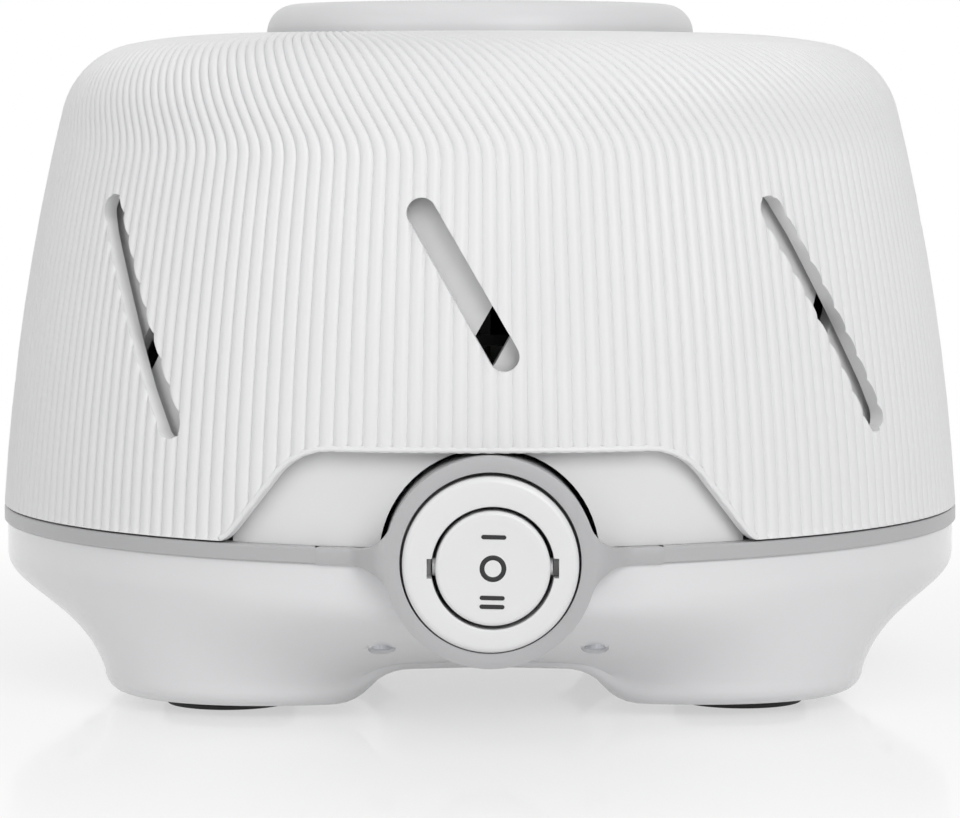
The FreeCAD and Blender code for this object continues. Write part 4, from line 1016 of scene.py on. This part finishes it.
@dataclass
class LobedBase:
    """The gloss base: a circle drawn in on its four sides, with crossing arches between its feet."""

    radius: float = 72.5 * MM
    bottom: float = 1.6 * MM
    top: float = 23.6 * MM
    waist_flat: float = 19.0 * MM
    side_scoop: float = 26.0 * MM
    side_start: float = 0.651
    side_sharpness: float = 4.0
    corner_scoop: float = 3.7 * MM
    arch_top: float = 7.0 * MM
    arch_flat: float = 11.1 * MM
    arch_reach: float = 21.9 * MM
    foot_round: float = 3.0 * MM
    arch_round: float = 0.9 * MM
    wall: float = 2.4 * MM
    floor: float = 9.4 * MM
    seat_radius: float = 14.56 * MM
    seat_height: float = 24.4 * MM
    gland_radius: float = 4.35 * MM
    gland_height: float = 15.6 * MM
    cutter_middle: float = 70 * MM
    well_circle: float = 62.8 * MM
    well_radius: float = 1.95 * MM
    well_roof: float = 11.0 * MM
    well_depth: float = 8.0 * MM
    wells: int = 8
    columns: int = 288
    edge_tries: int = 6
    under_steps: int = 34
    bend_steps: int = 6
    wall_steps: int = 22
    inner_steps: int = 6

    def wall_radius(self, turn: float, height: float) -> float:
        """Give the outer wall's radius at an azimuth and a height.

        Args:
            turn: the azimuth.
            height: the height.

        Returns:
            The radius.
        """
        share = min(1.0, max(0.0, (self.waist_flat - height) / (self.waist_flat - self.bottom)))
        ogee = math.sin(math.pi / 2 * share ** self.side_start) ** self.side_sharpness
        side = self.radius - self.side_scoop * ogee
        corner = self.radius - self.corner_scoop * share
        return side + (corner - side) * math.sin(2 * turn) ** 2

    def arch(self, across: float) -> float:
        """Give one arch's height at a distance from its middle.

        Args:
            across: the distance from the arch's middle plane.

        Returns:
            The height of the underside.
        """
        rise = self.arch_top - self.bottom
        run = self.arch_reach - self.arch_flat
        bend = (run * run / 4 + rise * rise / 4) / rise
        away = abs(across)
        if away <= self.arch_flat:
            return self.arch_top
        if away >= self.arch_reach:
            return self.bottom
        if away <= self.arch_flat + run / 2:
            return self.arch_top - bend + math.sqrt(bend ** 2 - (away - self.arch_flat) ** 2)
        return self.bottom + bend - math.sqrt(bend ** 2 - (self.arch_reach - away) ** 2)

    def under(self, turn: float, radius: float) -> float:
        """Give the underside's height at a place."""
        return max(self.arch(radius * math.sin(turn)), self.arch(radius * math.cos(turn)))

    def column(self, turn: float) -> list[Flat]:
        """Give one radial slice's closed outline, from the underside's middle round to the floor's.

        Args:
            turn: the slice's azimuth.

        Returns:
            The outline's radii and heights.
        """
        edge = self.wall_radius(turn, self.bottom + self.foot_round) - self.foot_round
        for _ in range(self.edge_tries):
            low = self.under(turn, edge)
            lifted = (low - self.bottom) / (self.arch_top - self.bottom)
            bend = self.foot_round + (self.arch_round - self.foot_round) * lifted
            edge = self.wall_radius(turn, low + bend) - bend
        steps = self.under_steps
        points = [(edge * step / steps, self.under(turn, edge * step / steps)) for step in range(steps)]
        points.append((edge, low))
        start = low + bend
        reach = self.wall_radius(turn, start)
        for step in range(1, self.bend_steps + 1):
            angle = math.pi / 2 * step / self.bend_steps
            points.append((edge + (reach - edge) * math.sin(angle), low + bend * (1 - math.cos(angle))))
        for step in range(1, self.wall_steps + 1):
            height = start + (self.top - start) * step / self.wall_steps
            points.append((self.wall_radius(turn, height), height))
        for step in range(self.inner_steps + 1):
            level = self.top + (self.floor - self.top) * step / self.inner_steps
            points.append((self.wall_radius(turn, level) - self.wall, level))
        points.append((self.wall_radius(turn, self.floor) / 2, self.floor))
        points.append((0.0, self.floor))
        return points

    def build(self) -> None:
        """Make the base and its screws."""
        slices = [self.column(2 * math.pi * index / self.columns) for index in range(self.columns)]

        def place(column: int, row: int) -> Vector:
            """Give a crossing's place on the base's slices."""
            index = column % self.columns
            radius, height = slices[index][row]
            return on_circle(radius, 2 * math.pi * index / self.columns, height)

        piece = wrap_grid("lobed_base", self.columns, len(slices[0]) - 1, place, LATHE_MERGE)
        subtract(piece, self.cutters())
        hand_over(piece, GLOSS_BASE, Body.BASE, "base_white", "base_shell")
        self.build_screws()

    def screw_names(self) -> list[str]:
        """Give the frame's names of the housing screws."""
        return [f"housing_screw_{index}" for index in range(1, self.wells + 1)]

    def well_places(self) -> list[Flat]:
        """Give the screw wells' places: each on the azimuth of its screw in the frame.

        Returns:
            Each well's X and Y.
        """
        places = []
        for name in self.screw_names():
            low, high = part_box(name)
            out = ((low + high) / 2).xy.normalized() * self.well_circle
            places.append((out.x, out.y))
        return places

    def build_screws(self) -> None:
        """Make the housing screws, seated at their wells' roofs."""
        screw = HousingScrew().build(self.well_roof)
        screws = []
        for x, y in self.well_places():
            copy = screw.copy()
            copy.data = screw.data.copy()
            bpy.context.scene.collection.objects.link(copy)
            copy.data.transform(Matrix.Translation((x, y, 0)))
            screws.append(copy)
        bpy.data.objects.remove(screw)
        piece = join(screws, "housing_screws")
        hand_over(piece, ZINC_STEEL, Body.BASE, "screw_steel", *self.screw_names(), sharp=30)

    def cutters(self) -> Piece:
        """Make the cutters of the ring's seat, the gland's hole and the screw wells.

        Returns:
            The joined cutters.
        """
        seat = Matrix.Translation((0, -self.cutter_middle, self.seat_height)) @ FACING_FRONT
        gland = Matrix.Translation((0, self.cutter_middle, self.gland_height)) @ FACING_FRONT
        cutters = [
            add_cylinder(self.seat_radius, 24 * MM, 96, seat),
            add_cylinder(self.gland_radius, 20 * MM, 48, gland),
        ]
        middle = self.well_roof - self.well_depth / 2
        for x, y in self.well_places():
            spot = Matrix.Translation((x, y, middle))
            cutters.append(add_cylinder(self.well_radius, self.well_depth, 32, spot))
        return join(cutters, "base_cutters")


@dataclass
class TrimRing:
    """The grey band, its web and the flat ring round the switch."""

    radius: float = 73.0 * MM
    wall: float = 2.5 * MM
    low: float = 23.6 * MM
    high: float = 25.9 * MM
    centre: float = 24.4 * MM
    outer: float = 14.5 * MM
    inner: float = 12.4 * MM
    face: float = 75.0 * MM
    shelf: float = 70.0 * MM
    shelf_bore: float = 10.2 * MM
    back: float = 68.0 * MM
    tube_end: float = 62.0 * MM
    tube_inset: float = 0.03 * MM
    tube_start: float = 0.8 * MM
    blend: float = 5.0 * MM
    blend_steps: int = 10
    lift_run: float = 5.0 * MM
    reach: float = 24.0 * MM
    web_step: float = 0.8 * MM
    web_rises: tuple[float, ...] = (0.0, 3.0 * MM, 6.0 * MM)
    edge: float = 0.25 * MM
    band_overlap: float = 0.05 * MM
    band_steps: int = 200

    def web_side(self, level: float, side: int) -> list[Flat]:
        """Give the blend between the band's edge and the ring, on the right, from the band inward.

        Args:
            level: the band edge's height.
            side: 1 for the upper edge, -1 for the lower.

        Returns:
            The blend's points in the front view.
        """
        centre_z = level + self.blend * side
        rise = centre_z - self.centre
        centre_x = math.sqrt((self.outer + self.blend) ** 2 - rise ** 2)
        meet = math.degrees(math.atan2(-rise, -centre_x))
        if meet * side > 0:
            meet -= 360 * side
        return round_corner((centre_x, centre_z), self.blend, -90 * side, meet, self.blend_steps)

    def web_outline(self) -> list[Flat]:
        """Give the web's whole outline in the front view: band, ring and band again.

        Returns:
            The outline's points.
        """
        upper = self.web_side(self.high, 1)
        lower = self.web_side(self.low, -1)
        right = [(self.reach, self.high)] + upper
        low_right = [(self.reach, self.low)] + lower
        first, last = (
            math.degrees(math.atan2(side[-1][1] - self.centre, side[-1][0])) for side in (upper, lower)
        )
        middle = (0.0, self.centre)
        around = right + round_corner(middle, self.outer, first, 180 - first, 40)[1:-1]
        around += [(-x, z) for x, z in reversed(right)]
        around += [(-x, z) for x, z in low_right]
        around += round_corner(middle, self.outer, 180 - last, 360 + last, 40)[1:-1]
        return around + list(reversed(low_right))

    def build(self) -> None:
        """Make the web with the ring's face, the band and the tube behind the face."""
        self.build_web()
        self.build_band()
        self.build_ring()

    def build_web(self) -> None:
        """Make the web: a flat plate cut into strips, thickened and wrapped onto the waist."""
        points = [Vector((x, 0, z)) for x, z in self.web_outline()]
        web = from_points("trim_web", points, [], [list(range(len(points)))])
        activate(web)
        bpy.ops.object.mode_set(mode="EDIT")
        cuts = int(2 * self.reach / self.web_step)
        across = [-self.reach + 2 * self.reach * index / cuts for index in range(1, cuts)]
        planes = [((x, 0, 0), (1, 0, 0)) for x in across]
        planes += [((0, 0, self.low - rise), (0, 0, 1)) for rise in reversed(self.web_rises)]
        planes += [((0, 0, self.high + rise), (0, 0, 1)) for rise in self.web_rises]
        for point, normal in planes:
            bpy.ops.mesh.select_all(action="SELECT")
            bpy.ops.mesh.bisect(plane_co=point, plane_no=normal)
        bpy.ops.mesh.select_all(action="SELECT")
        bpy.ops.mesh.extrude_region_move(TRANSFORM_OT_translate={"value": (0, self.wall, 0)})
        bpy.ops.object.mode_set(mode="OBJECT")
        merge(web)
        for vertex in web.data.vertices:
            x, depth, z = vertex.co
            out = math.sqrt(self.radius ** 2 - x ** 2)
            away = math.hypot(x, z - self.centre)
            lift = ease((self.outer + self.lift_run - away) / self.lift_run)
            vertex.co.y = depth - (out + (self.face - out) * lift)
        hole = Matrix.Translation((0, -self.shelf, self.centre)) @ FACING_FRONT
        subtract(web, add_cylinder(self.inner, 40 * MM, 96, hole))
        use_modifier(
            web, "BEVEL", width=self.edge, segments=2, limit_method="ANGLE",
            angle_limit=math.radians(50), harden_normals=False,
        )
        hand_over(web, SATIN_TRIM, Body.BASE, "trim_grey", "trim_ring")

    def build_band(self) -> None:
        """Make the band round the rest of the waist."""
        start = math.asin((self.reach - self.band_overlap) / self.radius)
        span = 2 * math.pi - 2 * start
        inner = self.radius - self.wall
        e = self.edge
        section = [
            (inner, self.low), (self.radius - e, self.low), (self.radius, self.low + e),
            (self.radius, self.high - e), (self.radius - e, self.high), (inner, self.high),
        ]

        def place(column: int, row: int) -> Vector:
            """Give a crossing's place on the band."""
            radius, height = section[row % len(section)]
            return on_circle(radius, start + span * column / self.band_steps, height)

        band = wrap_grid("trim_band", self.band_steps, len(section), place)
        hand_over(band, SATIN_TRIM, Body.BASE, "trim_grey", "trim_ring")

    def build_ring(self) -> None:
        """Make the tube behind the ring's face, with the shelf that the bezel sits on."""
        outer = self.outer - self.tube_inset
        inner = self.inner + self.tube_inset
        front = self.face - self.tube_start
        ring = lathe("switch_ring", [
            (outer, self.tube_end), (outer, front), (inner, front), (inner, self.shelf),
            (self.shelf_bore, self.shelf), (self.shelf_bore, self.back), (inner, self.back),
            (inner, self.tube_end),
        ], 160)
        set_on_line(ring, self.centre)
        hand_over(ring, SATIN_TRIM, Body.BASE, "trim_grey", "trim_ring")


@dataclass
class Switch:
    """The round rocker switch: bezel, rocker and its inked marks."""

    centre: float = 24.4 * MM
    bezel_radius: float = 12.05 * MM
    bezel_edge: float = 0.9 * MM
    bezel_drop: float = 0.2 * MM
    face: float = 75.8 * MM
    bore: float = 8.4 * MM
    bore_across: float = 0.3 * MM
    bore_rise: float = -0.65 * MM
    bore_lip: float = 0.25 * MM
    barrel: float = 10.1 * MM
    shelf: float = 70.0 * MM
    back: float = 52.0 * MM
    floor: float = 54.0 * MM
    pivot: float = 73.1 * MM
    notch_size: Triple = (18.0 * MM, 6.0 * MM, 2.7 * MM)
    notch_lead: float = 1.75 * MM
    pin_radius: float = 1.2 * MM
    pin_length: float = 16.4 * MM
    rocker_radius: float = 7.85 * MM
    rocker_face: float = 76.0 * MM
    rocker_edge: float = 0.6 * MM
    rocker_back: float = 70.8 * MM
    rocker_chamfer: float = 1.0 * MM
    dish: float = 0.25 * MM
    dish_steps: int = 9
    stem: Triple = (5.0 * MM, 6.0 * MM, 5.0 * MM)
    stem_middle: float = 68.0 * MM
    bar_rises: tuple[float, ...] = (4.3 * MM, -4.0 * MM, -5.2 * MM)
    bar_run: float = 2.8 * MM
    bar_half: float = 0.3 * MM
    ring_radius: float = 1.49 * MM
    ring_half: float = 0.34 * MM
    ring_flat: float = 0.16
    mark_depth: float = 0.1 * MM
    mark_tilt: float = 1.5

    def build(self) -> None:
        """Make the switch's pieces."""
        self.build_bezel()
        self.build_rocker()
        self.build_marks()

    def on_bore(self, out: float) -> Matrix:
        """Give the place on the bore's line at a distance out from the object's middle."""
        return Matrix.Translation((self.bore_across, -out, self.centre + self.bore_rise))

    def build_bezel(self) -> None:
        """Make the bezel, rounded outside and crisp at its bore, with a notch for each pivot."""
        edge = self.bezel_edge
        lip = self.bore_lip
        outline = [(0.0, self.floor), (self.bore, self.floor), (self.bore, self.face - 4 * lip)]
        outline += round_corner((self.bore + lip, self.face - lip), lip, 180, 90, 4)
        outline += round_corner((self.bezel_radius - edge, self.face - edge), edge, 90, 0, 8)
        outline += [
            (self.bezel_radius, self.shelf), (self.barrel, self.shelf), (self.barrel, self.back),
            (0.0, self.back),
        ]
        bezel = lathe("switch_bezel_ring", outline, 160)
        for vertex in bezel.data.vertices:
            if vertex.co.xy.length < self.bore + 2 * lip:
                vertex.co.x += self.bore_across
                vertex.co.y += self.bore_rise
            else:
                vertex.co.y -= self.bezel_drop
        set_on_line(bezel, self.centre)
        subtract(bezel, add_box(self.notch_size, self.on_bore(self.pivot + self.notch_lead)))
        hand_over(bezel, SWITCH_NYLON, Body.BASE, "switch_white", "switch_bezel")

    def build_rocker(self) -> None:
        """Make the rocker: a slightly dished disc with a rounded rim, its pins and its stem."""
        edge = self.rocker_edge
        outline = []
        for step in range(self.dish_steps):
            share = step / self.dish_steps
            height = self.rocker_face - self.dish * (1 - share ** 2)
            outline.append(((self.rocker_radius - edge) * share, height))
        outline += round_corner((self.rocker_radius - edge, self.rocker_face - edge), edge, 90, 0, 6)
        outline += [
            (self.rocker_radius, self.rocker_back + self.rocker_chamfer),
            (self.rocker_radius - self.rocker_chamfer, self.rocker_back), (0.0, self.rocker_back),
        ]
        disc = lathe("rocker_disc", outline, 128)
        disc.data.transform(Matrix.Translation((self.bore_across, self.bore_rise, 0)))
        set_on_line(disc, self.centre)
        lying = self.on_bore(self.pivot) @ Matrix.Rotation(math.pi / 2, 4, "Y")
        pins = add_cylinder(self.pin_radius, self.pin_length, 32, lying)
        stem = add_box(self.stem, Matrix.Translation((0, -self.stem_middle, self.centre)))
        use_modifier(stem, "BEVEL", width=0.4 * MM, segments=2)
        rocker = join([disc, pins, stem], "rocker_paddle")
        hand_over(rocker, SWITCH_NYLON, Body.ROCKER, "switch_white", "rocker")

    def build_marks(self) -> None:
        """Make the inked marks: a bar, a ring and two bars."""
        marks = []
        for rise in self.bar_rises:
            bar = add_cylinder(self.bar_half, self.mark_depth, 24)
            draw_apart(bar, 0, self.bar_run)
            bar.data.transform(Matrix.Translation((0, rise, 0)))
            marks.append(bar)
        deselect()
        bpy.ops.mesh.primitive_torus_add(
            major_radius=self.ring_radius, minor_radius=self.ring_half,
            major_segments=48, minor_segments=10,
        )
        marks.append(bpy.context.object)
        marks[-1].data.transform(Matrix.Diagonal((1, 1, self.ring_flat, 1)))
        inked = join(marks, "rocker_marks")
        inked.data.transform(Matrix.Rotation(math.radians(-self.mark_tilt), 4, "Z"))
        for vertex in inked.data.vertices:
            share = math.hypot(vertex.co.x, vertex.co.y) / (self.rocker_radius - self.rocker_edge)
            vertex.co.z += self.rocker_face - self.dish * (1 - share ** 2)
        inked.data.transform(Matrix.Translation((self.bore_across, self.bore_rise, 0)))
        set_on_line(inked, self.centre)
        merge(inked, GRID_MERGE)
        hand_over(inked, MARK_INK, Body.ROCKER, "foot_rubber")


@dataclass
class TopCap:
    """The turning cap: a shallow round lid with a soft edge and windows low in its skirt."""

    top: float = 101.8 * MM
    radius: float = 32.6 * MM
    edge: float = 4.3 * MM
    flare: float = 0.4 * MM
    foot: float = 94.0 * MM
    wall: float = 2.0 * MM
    boss: float = 5.0 * MM
    spigot: float = 3.95 * MM
    spigot_foot: float = 89.5 * MM
    screw_bore: float = 1.55 * MM
    screw_roof: float = 98.0 * MM
    windows: int = 8
    window_size: Triple = (9.0 * MM, 8.0 * MM, 3.4 * MM)
    window_rise: float = 0.7 * MM

    def build(self) -> None:
        """Make the cap."""
        centre = (self.radius - self.edge, self.top - self.edge)
        skirt = self.radius + self.flare
        outline = [(0.0, self.top), (self.radius * 0.4, self.top)]
        outline += round_corner(centre, self.edge, 90, 0, 14)
        outline += [(skirt, self.foot), (skirt - self.wall, self.foot)]
        outline += round_corner(centre, self.edge - self.wall, 0, 90, 8)
        outline += [
            (self.boss, self.top - self.wall), (self.boss, self.foot), (self.spigot, self.foot),
            (self.spigot, self.spigot_foot), (self.screw_bore, self.spigot_foot),
            (self.screw_bore, self.screw_roof), (0.0, self.screw_roof),
        ]
        cap = lathe("turning_cap", outline, 192)
        out = Matrix.Translation((0, -skirt, self.foot + self.window_rise))
        windows = []
        for index in range(self.windows):
            turn = Matrix.Rotation(2 * math.pi * index / self.windows, 4, "Z")
            windows.append(add_box(self.window_size, turn @ out))
        subtract(cap, join(windows, "cap_window_cutters"))
        # The cap's finish is greyed as painted shade, standing for the dimmer light on the cap
        hand_over(cap, CAP_WITH_PAINTED_SHADE, Body.CAP, "cap_white", "top_cap")


@dataclass
class Studio:
    """The table, the white surroundings, the lamps and the camera."""

    distance: float = 610.2 * MM
    azimuth: float = -1.1
    eye: float = 86.0 * MM
    pitch: float = 4.336
    focal_pixels: float = 3963.9
    picture_width: float = 960.0
    sensor: float = 36.0
    table_side: float = 8.0
    table_roughness: float = 0.07
    white_share: float = 0.55
    white_start: float = 60 * MM
    white_end: float = 240 * MM
    surroundings: float = 0.37
    aim: Triple = (0.0, 0.0, 0.05)
    # Each soft box: name, place, side in metres, power in watts
    lamps: tuple[tuple[str, Triple, float, float], ...] = (
        ("key_box", (0.4, -0.9, 0.6), 0.7, 5.2),
        ("fill_box", (-0.75, -0.6, 0.5), 0.7, 2.0),
        ("top_box", (0.0, 0.05, 0.95), 0.9, 1.5),
    )

    def build(self) -> None:
        """Make everything that isn't the object."""
        self.build_table()
        self.build_world()
        for name, place, side, power in self.lamps:
            self.soft_box(name, place, side, power)
        self.build_camera()

    def seen(self, tree: bpy.types.NodeTree, *others: str) -> bpy.types.NodeSocket:
        """Give a share that is 1 for camera rays and for the other kinds of ray named.

        Args:
            tree: the node tree.
            *others: the Light Path outputs of the other kinds.

        Returns:
            The socket that gives the share.
        """
        rays = add_node(tree, "ShaderNodeLightPath")
        share = rays.outputs["Is Camera Ray"]
        for kind in others:
            either = {0: share, 1: rays.outputs[kind]}
            share = add_node(tree, "ShaderNodeMath", either, operation="MAXIMUM").outputs[0]
        return share

    def build_table(self) -> None:
        """Make the glossy white table."""
        deselect()
        bpy.ops.mesh.primitive_plane_add(size=self.table_side)
        table = bpy.context.object
        table.name = "table"
        material, tree, shader, coordinates = new_material("polished_white_table")
        shader.inputs["Base Color"].default_value = linear("#F2F2F2")
        shader.inputs["Roughness"].default_value = self.table_roughness
        table.data.materials.append(material)
        output = next(node for node in tree.nodes if node.type == "OUTPUT_MATERIAL")
        # Away from the object the table gives way to plain white, for the camera and in reflections
        away = add_node(
            tree, "ShaderNodeVectorMath", {0: coordinates.outputs["Object"]}, operation="LENGTH",
        )
        far = add_node(
            tree, "ShaderNodeMapRange", {"Value": away.outputs["Value"]},
            {"From Min": self.white_start, "From Max": self.white_end,
             "To Min": self.white_share, "To Max": 1.0},
            interpolation_type="SMOOTHSTEP",
        )
        share = add_node(
            tree, "ShaderNodeMath", {0: self.seen(tree, "Is Glossy Ray"), 1: far.outputs["Result"]},
            operation="MULTIPLY",
        )
        white = add_node(tree, "ShaderNodeEmission", None, {"Color": (1, 1, 1, 1), "Strength": 1.0})
        mix = add_node(
            tree, "ShaderNodeMixShader",
            {0: share.outputs[0], 1: shader.outputs["BSDF"], 2: white.outputs["Emission"]},
        )
        tree.links.new(mix.outputs["Shader"], output.inputs["Surface"])
        table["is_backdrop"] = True

    def build_world(self) -> None:
        """Light the object evenly, and show white to the camera and in reflections."""
        world = bpy.data.worlds.new("white_studio")
        bpy.context.scene.world = world
        world.use_nodes = True
        tree = world.node_tree
        tree.nodes.clear()
        share = self.seen(tree, "Is Transmission Ray", "Is Glossy Ray")
        strength = add_node(
            tree, "ShaderNodeMapRange", {"Value": share}, {"To Min": self.surroundings, "To Max": 1.0},
        )
        light = add_node(
            tree, "ShaderNodeBackground", {"Strength": strength.outputs["Result"]},
            {"Color": (1, 1, 1, 1)},
        )
        output = add_node(tree, "ShaderNodeOutputWorld", {"Surface": light.outputs["Background"]})
        output.is_active_output = True

    def soft_box(self, name: str, place: Triple, side: float, power: float) -> None:
        """Hang one square soft box that faces the object.

        Args:
            name: the lamp's name.
            place: where it hangs.
            side: its side.
            power: its power in watts.
        """
        lamp = bpy.data.lights.new(name, "AREA")
        lamp.shape = "SQUARE"
        lamp.size = side
        lamp.energy = power
        holder = bpy.data.objects.new(name, lamp)
        bpy.context.scene.collection.objects.link(holder)
        holder.location = place
        holder.rotation_euler = (Vector(self.aim) - Vector(place)).to_track_quat("-Z", "Y").to_euler()

    def build_camera(self) -> None:
        """Stand the camera where the photograph was taken from."""
        camera = bpy.data.cameras.new("camera")
        camera.sensor_width = self.sensor
        camera.lens = self.focal_pixels / self.picture_width * self.sensor
        camera.clip_start = 0.01
        camera.clip_end = 50
        holder = bpy.data.objects.new("camera", camera)
        bpy.context.scene.collection.objects.link(holder)
        turn = math.radians(self.azimuth)
        holder.location = (self.distance * math.sin(turn), -self.distance * math.cos(turn), self.eye)
        holder.rotation_euler = (math.radians(90 - self.pitch), 0, turn)
        bpy.context.scene.camera = holder


def main() -> None:
    """Build the studio, dress the frame and make each modelled piece."""
    logging.basicConfig(level=logging.INFO, format="%(name)s: %(message)s")
    bpy.context.scene.view_settings.view_transform = "Standard"
    Studio().build()
    dress_frame()
    RibbedShell(DomeProfile()).build()
    for assembly in (LobedBase, TrimRing, Switch, TopCap):
        assembly().build()
    boxes = {"cad": CAD_BOX, "visual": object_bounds()}
    boxes = {name: [list(corner) for corner in box] for name, box in boxes.items()}


if __name__ == "__main__":
    main()
